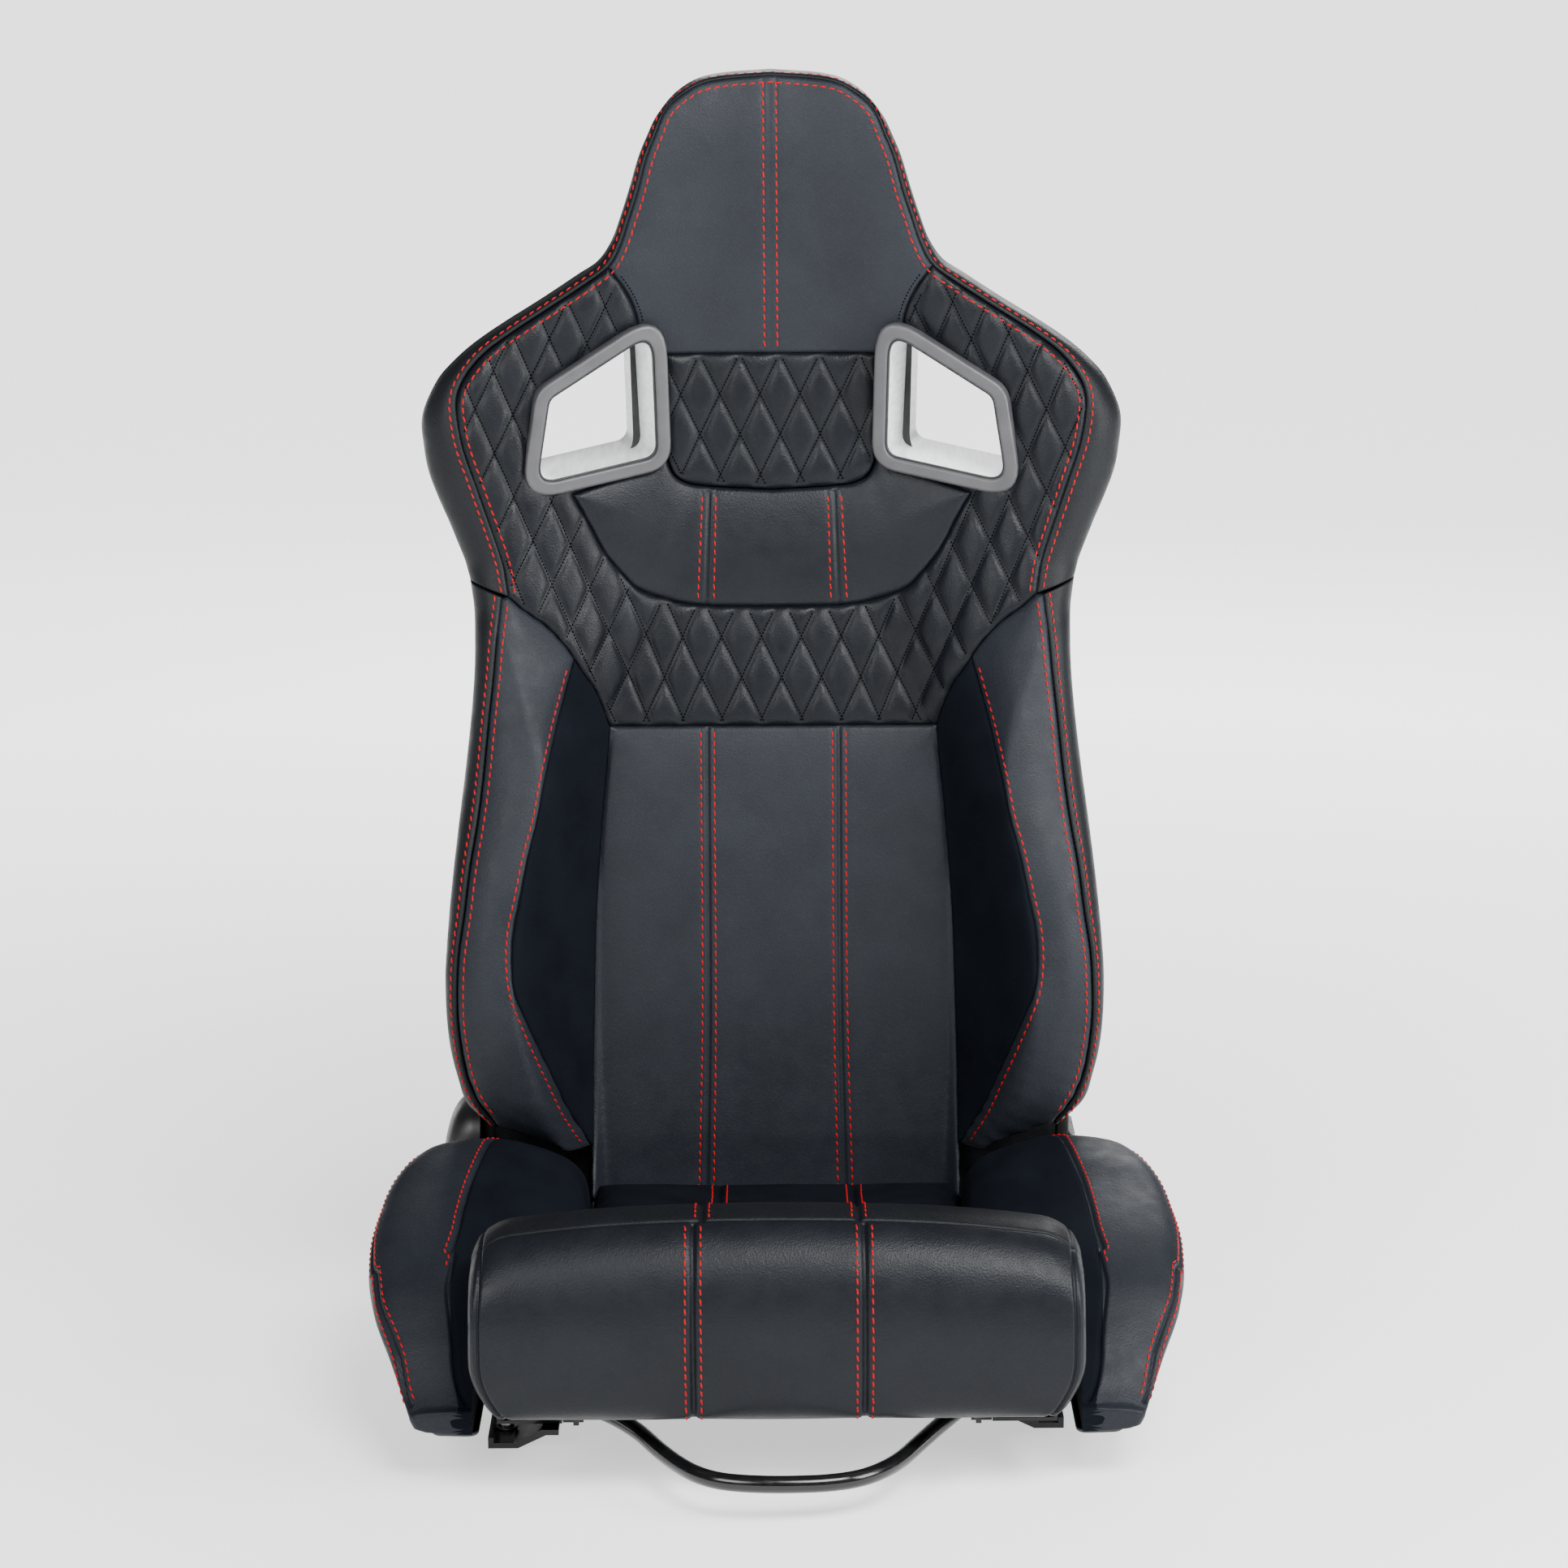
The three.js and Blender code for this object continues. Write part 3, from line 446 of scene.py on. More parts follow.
def beside(line, offset, closed=False):
    """The line moved sideways in its own plane, to its left for a positive offset."""
    if closed:
        tangent = np.roll(line, -1, 0) - np.roll(line, 1, 0)
    else:
        tangent = np.gradient(line, axis=0)
    tangent /= np.maximum(np.linalg.norm(tangent, axis=1, keepdims=True), 1e-9)
    return line + np.stack([-tangent[:, 1], tangent[:, 0]], 1) * offset


def triangulate(outline, holes, extra, spread):
    """Triangles over an outline with holes, through extra points and an even spread of points."""
    loops = [outline, *holes]
    rim = np.vstack([beside(loop, step * (1 if k == 0 else -1), closed=True)
                     for k, loop in enumerate(loops) for step in RIM_STEPS])
    edge = np.vstack([resample(np.vstack([loop, loop[:1]]), 0.6) for loop in loops])
    special = np.vstack([rim, *extra]) if extra else rim
    special = special[nearest(special, edge) > 0.26]
    spread = spread[nearest(spread, np.vstack([special, edge])) > 1.4]
    points = np.vstack([special, spread])
    keep = inside(points, outline)
    for hole in holes:
        keep &= ~inside(points, hole)
    verts = [tuple(p) for loop in loops for p in loop]
    edges, start = [], 0
    for loop in loops:
        edges += [(start + i, start + (i + 1) % len(loop)) for i in range(len(loop))]
        start += len(loop)
    verts += [tuple(p) for p in points[keep]]
    flat, _, faces, *_ = delaunay_2d_cdt([Vector(v) for v in verts], edges, [], 0, 1e-4)
    flat = np.array([tuple(v) for v in flat])
    faces = np.array([f for f in faces if len(f) == 3])
    middle = flat[faces].mean(1)
    keep = inside(middle, outline)
    for hole in holes:
        keep &= ~inside(middle, hole)
    return flat, faces[keep], edge


def panel(outline, height, grid=4.0, creases=(), holes=(), spread=None, base=back_front, facing=-1,
          thickness=14, radius=EDGE_RADIUS, rear_face=None):
    """A sewn pad over an outline in x and z: the front follows the base surface, raised by height,
    its edge rolls down to the seam, and a back and sides close it."""
    if spread is None:
        low, high = outline.min(0), outline.max(0)
        x, z = np.meshgrid(np.arange(low[0], high[0], grid), np.arange(low[1], high[1], grid * 0.87))
        x[::2] += grid / 2
        spread = np.stack([x.ravel(), z.ravel()], 1)
    extra = [beside(line, step * way) for line, _, _ in creases for step in CREASE_STEPS for way in (1, -1)]
    flat, faces, edge = triangulate(outline, holes, extra, spread)
    points = lift(flat, base)
    from_edge = nearest(points, lift(edge, base))
    rise = height(flat, from_edge) + rolled(from_edge, radius)
    for line, depth, width in creases:
        away = nearest(points, lift(resample(line, 0.6), base))
        rise = rise - depth * np.exp(-(away / width) ** 2)
    normal = base_normal(flat, base, facing)
    front = points + normal * rise[:, None]
    rear = points - np.array([0, facing, 0]) * thickness
    if rear_face is not None:
        rear[:, 1] = rear_face(*flat.T)
    count = len(flat)
    sided = np.vstack([faces[:, [0, 1]], faces[:, [1, 2]], faces[:, [2, 0]]])
    keys = {tuple(e) for e in sided.tolist()}
    border = [(a, b) for a, b in keys if (b, a) not in keys]
    skirt = [[b, a, a + count, b + count] for a, b in border]
    all_faces = faces.tolist() + (faces[:, ::-1] + count).tolist() + skirt
    mesh = np.vstack([front, rear]), all_faces
    return turned(mesh) if facing > 0 else mesh


def crown(amount, reach=14):
    """Padding that swells away from the seams."""
    return lambda flat, from_edge: amount * (1 - np.exp(-from_edge / reach))


def undulation(flat, size, amount, seed=0.0):
    """Slow unevenness of hand-fitted leather."""
    x, z = flat.T / size
    return amount * (np.sin(1.7 * x + 0.9 * z + seed) * np.sin(1.1 * z - 0.6 * x + 2 * seed)
                     + 0.5 * np.sin(2.9 * x - 1.3 * z + 3 * seed))


def lattice_tilt(x):
    """How much higher the quilting rows sit towards the outside of the wings."""
    return QUILT_TILT * np.maximum(np.abs(x) - 80, 0)


def lattice_across(x):
    """Place across the quilting, counted in diamonds."""
    beyond = np.maximum(np.abs(x) - WING_START, 0)
    wide = np.sign(x) * (np.minimum(np.abs(x), WING_START) + WING_STRETCH * beyond)
    return (wide - QUILT_SHIFT) / DIAMOND[0]


def lattice_x(across):
    """The x of a place counted in diamonds."""
    wide = across * DIAMOND[0] + QUILT_SHIFT
    return np.sign(wide) * (np.minimum(np.abs(wide), WING_START)
                            + np.maximum(np.abs(wide) - WING_START, 0) / WING_STRETCH)


def quilt_spread(low, high, divisions=10):
    """Points that lie on the quilting lines and evenly between them."""
    (x0, z0), (x1, z1) = low, high
    tall = DIAMOND[1]
    step = 0.5 / divisions
    across, row = np.meshgrid(np.arange(math.floor(lattice_across(x0)) - 1, lattice_across(x1) + 1, step),
                              np.arange((z0 - DIAMOND_FOOT) / tall - 1, (z1 - DIAMOND_FOOT) / tall + 1, step))
    row = np.round(row / step) * step
    keep = np.round((across + row) / step).astype(int) % 2 == 0
    x, z = lattice_x(across[keep]), row[keep] * tall + DIAMOND_FOOT
    return np.stack([x, z + lattice_tilt(x)], 1)


def quilt_height(flat):
    """Puffed diamonds between the quilting lines."""
    x, z = flat.T
    across, up = lattice_across(x), (z - lattice_tilt(x) - DIAMOND_FOOT) / DIAMOND[1]
    bump = np.abs(np.sin(math.pi * (across + up)) * np.sin(math.pi * (across - up)))
    return QUILT_PUFF * (1 - np.exp(-QUILT_FULLNESS * bump))


def quilted(flat, from_edge):
    return (quilt_height(flat) + 0.6) * (1 - np.exp(-from_edge / 5.0))


# ---------------------------------------------------------------- stitches


def stitch_shape(length, radius, sides=6):
    """One stitch along x, arching out of the leather."""
    place = np.array([-0.5, -0.44, -0.28, 0, 0.28, 0.44, 0.5])
    width = np.array([0.2, 0.72, 1, 1.05, 1, 0.72, 0.2]) * radius
    angle = np.arange(sides) * 2 * math.pi / sides
    x = np.repeat(place * length, sides)
    y = (width[:, None] * np.cos(angle)).ravel()
    sag = radius * 1.3 * np.repeat((2 * place) ** 2, sides)
    z = (width[:, None] * np.sin(angle)).ravel() + radius * 0.35 - sag
    return loft(np.stack([x, y, z], 1).reshape(len(place), sides, 3))


def sew(path, normal, pitch, length, radius, slant=0.0):
    """Stitches along a line on a surface, as one mesh."""
    path, normal = np.asarray(path, float), np.asarray(normal, float)
    along = lengths(path)
    centre_at = np.arange(pitch * 0.6, along[-1] - pitch * 0.3, pitch)
    if not len(centre_at):
        return np.zeros((0, 3)), []

    def unit(v):
        return v / np.maximum(np.linalg.norm(v, axis=1, keepdims=True), 1e-9)

    up = unit(between(centre_at, along, normal))
    ahead, behind = (between(centre_at + way * length / 2, along, path) for way in (1, -1))
    forward = unit(ahead - behind - up * np.sum((ahead - behind) * up, 1, keepdims=True))
    across = np.cross(up, forward)
    turn = slant + rng.normal(0, 0.03, len(centre_at))[:, None]
    forward, across = (np.cos(turn) * forward + np.sin(turn) * across,
                       np.cos(turn) * across - np.sin(turn) * forward)
    shape, faces = stitch_shape(length, radius)
    size = rng.uniform(0.94, 1.05, len(centre_at))[:, None, None]
    points = (between(centre_at, along, path)[:, None] + forward[:, None] * shape[None, :, :1] * size
              + across[:, None] * shape[None, :, 1:2] + up[:, None] * shape[None, :, 2:])
    step = len(shape)
    everything = [[i + k * step for i in face] for k in range(len(centre_at)) for face in faces]
    return points.reshape(-1, 3), everything


def evened(values, reach=3):
    """A short running mean along a line."""
    padded = np.vstack([values[:1]] * reach + [values] + [values[-1:]] * reach)
    kernel = np.ones(2 * reach + 1) / (2 * reach + 1)
    return np.stack([np.convolve(column, kernel, mode="valid") for column in padded.T], 1)


class Surface:
    """The finished leather, to lay stitches on."""

    def __init__(self, *parts):
        points, faces = merge(parts)
        self.tree = BVHTree.FromPolygons(points.tolist(), faces)

    def from_front(self, line, pull=0.0):
        """A line in x and z laid on the leather as seen from the front, with its normals."""
        places, normals = [], []
        for x, z in line:
            hit, normal, _, _ = self.tree.ray_cast(Vector((x, -700, z)), Vector((0, 1, 0)))
            if hit is not None:
                places.append(hit)
                normals.append(normal)
        places, normals = evened(np.array(places), 1), evened(np.array(normals), 4)
        return places - normals * pull, normals

    def nearest(self, line):
        """A line in space moved onto the leather, with its normals."""
        found = [self.tree.find_nearest(Vector(p))[:2] for p in line]
        return evened(np.array([f[0] for f in found]), 1), evened(np.array([f[1] for f in found]), 3)


RED = dict(pitch=6.6, length=5.3, radius=0.66, slant=0.12)
BLACK = dict(pitch=2.6, length=1.9, radius=0.46, slant=0.0)

# ---------------------------------------------------------------- materials


def new_material(name, colour, roughness, metallic=0.0, specular=0.5):
    finish = bpy.data.materials.new(name)
    finish.use_nodes = True
    shader = finish.node_tree.nodes["Principled BSDF"]
    shader.inputs["Base Color"].default_value = (*colour, 1)
    shader.inputs["Roughness"].default_value = roughness
    shader.inputs["Metallic"].default_value = metallic
    shader.inputs["Specular IOR Level"].default_value = specular
    finish.diffuse_color = (*colour, 1)
    return finish


class Nodes:
    """Short forms for a material's node graph."""

    def __init__(self, finish):
        self.tree = finish.node_tree
        self.shader = finish.node_tree.nodes["Principled BSDF"]
        self.place = self.add("ShaderNodeTexCoord").outputs["Object"]

    def add(self, kind, **settings):
        node = self.tree.nodes.new(kind)
        for key, value in settings.items():
            setattr(node, key, value)
        return node

    def link(self, a, b):
        self.tree.links.new(a, b)

    def noise(self, scale, detail=3.0, stretch=(1, 1, 1)):
        mapping = self.add("ShaderNodeMapping")
        mapping.inputs["Scale"].default_value = stretch
        node = self.add("ShaderNodeTexNoise")
        node.inputs["Scale"].default_value = scale
        node.inputs["Detail"].default_value = detail
        self.link(self.place, mapping.inputs["Vector"])
        self.link(mapping.outputs["Vector"], node.inputs["Vector"])
        return node.outputs["Fac"]

    def cells(self, scale, feature="F1"):
        node = self.add("ShaderNodeTexVoronoi", feature=feature)
        node.inputs["Scale"].default_value = scale
        self.link(self.place, node.inputs["Vector"])
        return node.outputs["Distance"]

    def remap(self, value, low, high, out_low, out_high):
        node = self.add("ShaderNodeMapRange")
        sockets = ("From Min", "From Max", "To Min", "To Max")
        for socket, number in zip(sockets, (low, high, out_low, out_high)):
            node.inputs[socket].default_value = number
        self.link(value, node.inputs["Value"])
        return node.outputs["Result"]

    def maths(self, operation, a, b):
        node = self.add("ShaderNodeMath", operation=operation)
        for socket, value in zip(node.inputs, (a, b)):
            if isinstance(value, (int, float)):
                socket.default_value = value
            else:
                self.link(value, socket)
        return node.outputs[0]

    def blend(self, amount, first, second):
        node = self.add("ShaderNodeMix", data_type="RGBA")
        node.inputs["A"].default_value = (*first, 1)
        node.inputs["B"].default_value = (*second, 1)
        self.link(amount, node.inputs["Factor"])
        self.link(node.outputs["Result"], self.shader.inputs["Base Color"])

    def roughness(self, value):
        self.link(value, self.shader.inputs["Roughness"])

    def bump(self, height, distance, strength, under=None):
        node = self.add("ShaderNodeBump")
        node.inputs["Distance"].default_value = distance
        node.inputs["Strength"].default_value = strength
        self.link(height, node.inputs["Height"])
        if under is not None:
            self.link(under, node.inputs["Normal"])
        self.link(node.outputs["Normal"], self.shader.inputs["Normal"])
        return node.outputs["Normal"]


def leather(name, dark, light, rough=(0.42, 0.56), grain=760, strength=0.5, specular=0.17):
    """Coated leather: pebbled grain, fine pores and slow creasing."""
    finish = new_material(name, light, rough[1], specular=specular)
    n = Nodes(finish)
    patches = n.noise(22, 4)
    pebbles = n.cells(grain)
    n.blend(n.remap(n.maths("ADD", n.maths("MULTIPLY", patches, 0.7), n.maths("MULTIPLY", pebbles, 0.5)),
                    0.35, 0.85, 0, 1), dark, light)
    n.roughness(n.remap(n.noise(70, 4), 0.3, 0.7, *rough))
    slow = n.bump(n.noise(38, 3), 0.0009, 0.22)
    soft = n.bump(n.noise(grain * 0.42, 2), 0.00035, 0.5 * strength, slow)
    n.bump(pebbles, 0.00022, strength, soft)
    return finish


def napped(name, dark, light):
    """Matte microfibre: a fine nap brushed in slow patches."""
    finish = new_material(name, light, 0.9, specular=0.05)
    n = Nodes(finish)
    nap = n.noise(1500, 3)
    n.blend(n.remap(n.maths("ADD", n.maths("MULTIPLY", n.noise(30, 5), 0.8), n.maths("MULTIPLY", nap, 0.3)),
                    0.35, 0.75, 0, 1), dark, light)
    n.roughness(n.remap(n.noise(60, 4), 0.3, 0.7, 0.8, 0.95))
    n.bump(nap, 0.00025, 0.5, n.bump(n.noise(36, 3), 0.0008, 0.2))
    return finish


def thread(name, dark, light, specular=0.3):
    """Twisted sewing thread."""
    finish = new_material(name, light, 0.7, specular=specular)
    n = Nodes(finish)
    twist = n.noise(2600, 1, (1, 1, 0.6))
    n.blend(n.remap(twist, 0.3, 0.7, 0, 1), dark, light)
    n.bump(twist, 0.0002, 0.5)
    return finish


def moulded(name, dark, light, rough, stipple=1500, depth=0.00008):
    """Moulded or painted plastic with a fine stipple."""
    finish = new_material(name, light, rough[1])
    n = Nodes(finish)
    n.blend(n.remap(n.noise(45, 4), 0.3, 0.7, 0, 1), dark, light)
    n.roughness(n.remap(n.noise(160, 3), 0.3, 0.7, *rough))
    n.bump(n.noise(stipple, 2), depth, 0.6)
    return finish


def metal(name, dark, light, rough, stretch=(1, 1, 1), scale=120, metallic=1.0):
    """Painted or bare metal with faint drawing marks."""
    finish = new_material(name, light, rough[1], metallic)
    n = Nodes(finish)
    streaks = n.noise(scale, 5, stretch)
    n.blend(n.remap(streaks, 0.3, 0.7, 0, 1), dark, light)
    n.roughness(n.remap(n.noise(scale * 1.7, 4, stretch), 0.3, 0.7, *rough))
    n.bump(streaks, 0.00004, 0.4)
    return finish


SMOOTH = leather("smooth_leather", (0.0072, 0.0088, 0.012), (0.0118, 0.0143, 0.019))
# The roll leather is the smooth leather made darker: painted shade for the thigh roll, which sits low and
# gets less light. The bib cover takes it too.
SHADED_ROLL_LEATHER = leather("roll_leather_painted_shade", (0.0038, 0.0047, 0.0066), (0.0064, 0.0078, 0.0106), rough=(0.36, 0.46))
# The band leather is the smooth leather made darker still: painted shade for the side bands, the roll's top
# and the backrest's foot corners, which face away from the lamps.
SHADED_BAND_LEATHER = leather("band_leather_painted_shade", (0.0036, 0.0042, 0.0054), (0.0062, 0.0073, 0.0092), rough=(0.42, 0.54))
QUILTED = leather("quilted_leather", (0.0026, 0.0033, 0.0046), (0.0048, 0.006, 0.0084), rough=(0.34, 0.46),
                  specular=0.16)
MATTE = napped("matte_leather", (0.0022, 0.003, 0.005), (0.0042, 0.0057, 0.0088))
RED_THREAD = thread("red_thread", (0.17, 0.001, 0.002), (0.42, 0.005, 0.008), 0.12)
BLACK_THREAD = thread("black_thread", (0.0006, 0.0006, 0.0008), (0.0016, 0.0016, 0.002), 0.02)
SHELL = moulded("rear_shell", (0.006, 0.006, 0.0065), (0.013, 0.013, 0.014), (0.5, 0.68), 900, 0.00018)
PLASTIC = moulded("black_plastic", (0.004, 0.004, 0.0044), (0.009, 0.009, 0.0095), (0.38, 0.5))
BEZEL = moulded("bezel_grey", (0.042, 0.042, 0.046), (0.06, 0.06, 0.065), (0.36, 0.46), 2200, 0.00003)
SLEEVE = metal("sleeve_grey", (0.62, 0.63, 0.63), (0.86, 0.87, 0.87), (0.3, 0.42), (1, 0.06, 1), 260, 0.05)
BLACK_METAL = metal("black_metal", (0.002, 0.002, 0.0022), (0.005, 0.005, 0.0055), (0.16, 0.26), metallic=0.0)
STEEL = metal("steel", (0.3, 0.3, 0.31), (0.5, 0.5, 0.52), (0.24, 0.38), (1, 0.1, 1), 300)

# ---------------------------------------------------------------- harness holes


def hole_ring(side, margin, depth, steps=8):
    """Outline of a harness hole, grown by a margin, at a depth square to the wing."""
    cx, cz = HOLE_CENTRE
    flat = [((x - cx) / math.cos(HOLE_TILT), z - cz) for x, z in HOLE_CORNERS]
    outline = rounded(grown(flat, margin), HOLE_RADIUS + margin, steps)
    x = side * (outline[:, 0] * math.cos(HOLE_TILT) + depth * math.sin(HOLE_TILT) + cx)
    y = depth * math.cos(HOLE_TILT) - outline[:, 0] * math.sin(HOLE_TILT) + back_front(cx, cz)
    return np.stack([x, y, outline[:, 1] + cz], 1)


def hole_plan(side, margin, depth=0):
    """The hole as seen from the front: at depth 0, where it cuts the leather."""
    return ring(hole_ring(side, margin, depth)[:, [0, 2]])


def swept_ring(side, section):
    """A closed frame round a harness hole, from (margin, depth) pairs of its section."""
    rings = np.array([hole_ring(side, margin, depth) for margin, depth in section])
    count, columns = rings.shape[:2]
    points = rings.reshape(-1, 3)
    faces = grid_faces(count, columns)
    last = (count - 1) * columns
    faces += [[last + i, last + (i + 1) % columns, (i + 1) % columns, i] for i in range(columns)]
    return points, faces


def make_harness_trim(name, side):
    rear = SHELL_DEPTH + foam_rear(*HOLE_CENTRE) - back_front(*HOLE_CENTRE)
    w = BEZEL_WIDTH
    bezel = [(w - 0.6, 2), (w, 0), (w, -9.6), (w - 0.35, -11), (w - 1.3, -11.8), (w - 2.6, -12.1),
             (3.6, -12.1), (2.4, -11.9), (1.6, -11.2), (1.3, -10.2), (1.3, -4), (4, 0)]
    outward(build(f"harness_bezel_frame_{name}", *swept_ring(side, bezel), BEZEL, "back", "bezel_grey",
                  [f"harness_bezel_{name}"], sharp=50))
    seal = [(1.25, -9.6), (0.9, -9.9), (0.1, -9.5), (0, -8.6), (0.2, -5), (1.25, -5)]
    outward(build(f"harness_seal_{name}", *swept_ring(side, seal), PLASTIC, "back", "black_plastic"))
    sleeve = [(0.1, -8.4), (0.1, rear + 4), (1.2, rear + 7.2), (3, rear + 8), (w - 2, rear + 8),
              (w, rear + 6.5), (w, rear + 1.2), (SLEEVE_WALL, rear + 1.2), (SLEEVE_WALL, -4), (0.7, -8.4)]
    outward(build(f"harness_sleeve_liner_{name}", *swept_ring(side, sleeve), SLEEVE, "back", "sleeve_grey",
                  [f"harness_sleeve_{name}"], sharp=40))


for side_name, side in SIDES.items():
    make_harness_trim(side_name, side)

# ---------------------------------------------------------------- backrest panels

upper_seam = curve(UPPER_BAND, 3.0)
lower_seam = curve(LOWER_BAND, 3.0)
upper_line = upper_seam[:, :2]
lower_line = lower_seam[:, :2]
neck = int(np.argmin(np.linalg.norm(upper_line - HEAD_SIDE_SEAM[0], axis=1)))
head_arc, wing_arc = upper_line[:neck + 1], upper_line[neck:]
head_side = np.vstack([curve(HEAD_SIDE_SEAM[:-1]), resample(HEAD_SIDE_SEAM[-2:], 2.5)[1:]])
yoke_edge = curve([wing_arc[-1]] + YOKE_EDGE[1:])
bib_edge = curve(BIB_EDGE)
bib_top = curve(BIB_TOP)
bib_shoulder = curve(BIB_SHOULDER)
panel_edge = curve(PANEL_EDGE)
bolster_seam = curve(BOLSTER_SEAM)
HOLES = [hole_plan(s, 5.0) for s in SIDES.values()]


def straight(a, b, step=2.5):
    return resample([a, b], step)


def notch_ring(outline):
    """An outline with its points kept off the bezels, where a bezel covers the seam."""
    kept = outline
    for s in SIDES.values():
        kept = kept[~inside(kept, hole_plan(s, 3.0))]
    return kept


def make_head():
    """Smooth pad from the neck up, with two rows of stitches down its middle."""
    outline = notch_ring(ring(flip(head_arc[::-1]), head_arc, head_side, straight((98, 729), (-98, 729)),
                              flip(head_side[::-1])))
    middle = straight((0, 926), (0, 733))
    rows = [straight(*flip(HEAD_ROW, s)) for s in (1, -1)]

    def height(flat, from_edge):
        return crown(3.2, 16)(flat, from_edge) + undulation(flat, 70, 0.25)

    mesh = panel(outline, height, 4.2, [(middle, 0.5, 2.4)] + [(row, 0.5, 1.3) for row in rows])
    build("head_cover", *mesh, SMOOTH, "back", "smooth_leather", ["head_pad"], 0.8)
    return mesh


def make_upper_quilt():
    """Quilted panel between the harness holes."""
    foot = curve(QUILT_TOP[1:])
    outline = ring(straight((-79, 729), (79, 729)), straight((79, 729), (79, 662)), foot, flip(foot[::-1]),
                   straight((-79, 662), (-79, 729)))
    mesh = panel(outline, quilted, spread=quilt_spread(outline.min(0), outline.max(0)), radius=2.2)
    build("upper_quilt", *mesh, QUILTED, "back", "quilted_leather", ["upper_panel"], 0.7)
    return outline, mesh


def make_bib():
    """Smooth shield between the shoulder openings."""
    outline = ring(flip(bib_shoulder), flip(bib_top), bib_top[::-1], bib_shoulder[::-1], bib_edge,
                   flip(bib_edge[::-1]))
    rows = [curve([(s * a, 626), (s * b, 545)]) for s in (1, -1) for a, b in BIB_ROWS]
    valleys = [curve([(s * 47, 626), (s * 50, 543)]) for s in (1, -1)]

    def height(flat, from_edge):
        return crown(5.5, 17)(flat, from_edge) + undulation(flat, 60, 0.3, 1.0)

    mesh = panel(outline, height, 4.0, [(row, 0.45, 1.3) for row in rows] + [(v, 1.6, 1.5) for v in valleys])
    # The bib takes the roll leather, which is darkened with painted shade.
    build("bib_cover", *mesh, SHADED_ROLL_LEATHER, "back", "smooth_leather", ["bib_pad"], 0.8)
    return mesh


def yoke_half():
    """Half outline of the quilted yoke: wing, band foot, band top and inner edge."""
    inner = straight((79, 729), (79, 664))
    return [wing_arc, yoke_edge, straight((122, 453), (0, 453)), bib_edge[::-1], bib_shoulder, inner[::-1],
            straight((79, 729), (98, 729)), head_side[::-1]]


def make_yoke():
    """Quilted wings joined by the band under the bib, as one cover."""
    half = [np.asarray(part) for part in yoke_half()]
    loop = np.vstack(half[:3] + [flip(part[::-1]) for part in half[:3][::-1]]
                     + [flip(part[::-1]) for part in half[3:][::-1]] + half[3:])
    outline = ring(loop)
    mesh = panel(outline, quilted, holes=HOLES, spread=quilt_spread(outline.min(0), outline.max(0)))
    build("yoke_quilt", *mesh, QUILTED, "back", "quilted_leather",
          ["wing_pad_left", "wing_pad_right", "quilt_band"], 0.7)
    return outline, mesh


def make_centre():
    """Smooth lumbar panel between the bolsters, with two sewn valleys."""
    outline = ring(straight((-122, 453), (122, 453)), panel_edge, straight((136, 104), (-136, 104)),
                   flip(panel_edge[::-1]))
    rows = [curve([(s * x0, 451), (s * x0, 250), (s * x1, 106)])
            for s in (1, -1) for x0, x1 in ((44.5, 47), (54.5, 58))]
    valleys = [curve([(s * 49.5, 451), (s * 49.5, 250), (s * 52.5, 106)]) for s in (1, -1)]

    def height(flat, from_edge):
        foot = np.clip((flat[:, 1] - 100) / 50, 0.15, 1)
        return crown(4.5, 20)(flat, from_edge) * foot + undulation(flat, 75, 0.35, 2.0)

    mesh = panel(outline, height, 4.4, [(row, 0.45, 1.3) for row in rows] + [(v, 2.2, 1.7) for v in valleys])
    build("centre_cover", *mesh, SMOOTH, "back", "smooth_leather", ["centre_pad"], 0.8)
    return rows, mesh


def make_bolster(name, side):
    """Front and inner faces of a back bolster, either side of its single seam."""
    top = yoke_edge[yoke_edge[:, 0] >= bolster_seam[0][0]]
    top_inner = yoke_edge[yoke_edge[:, 0] <= bolster_seam[0][0]]
    front = ring(lower_line, curve(BOLSTER_FOOT), bolster_seam[::-1], top[::-1])
    inner_edge = panel_edge[panel_edge[:, 1] > 147]
    inner = ring(bolster_seam, straight(BOLSTER_SEAM[-1], (136, 147)), inner_edge[::-1], top_inner[::-1])

    def front_height(flat, from_edge):
        low = np.clip((260 - flat[:, 1]) / 90, 0, 1)
        creases = 0.5 * low * np.sin(flat[:, 1] * 0.42 + flat[:, 0] * 0.2) * np.exp(-from_edge / 14)
        return crown(4.5, 16)(flat, from_edge) + undulation(flat, 55, 0.35, side) + creases

    meshes = []
    for face, outline, height in (("front", front, front_height), ("inner", inner, crown(2.5, 14))):
        mesh = panel(ring(flip(outline, side)), height, 3.6, rear_face=lambda x, z: foam_rear(x, z) - 2)
        finish = SMOOTH if face == "front" else MATTE
        piece = build(f"back_bolster_{face}_{name}", *mesh, finish, "back", "smooth_leather", fill=0.8)
        if face == "front":
            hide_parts(f"back_bolster_{name}")
        meshes.append(mesh)
    return meshes


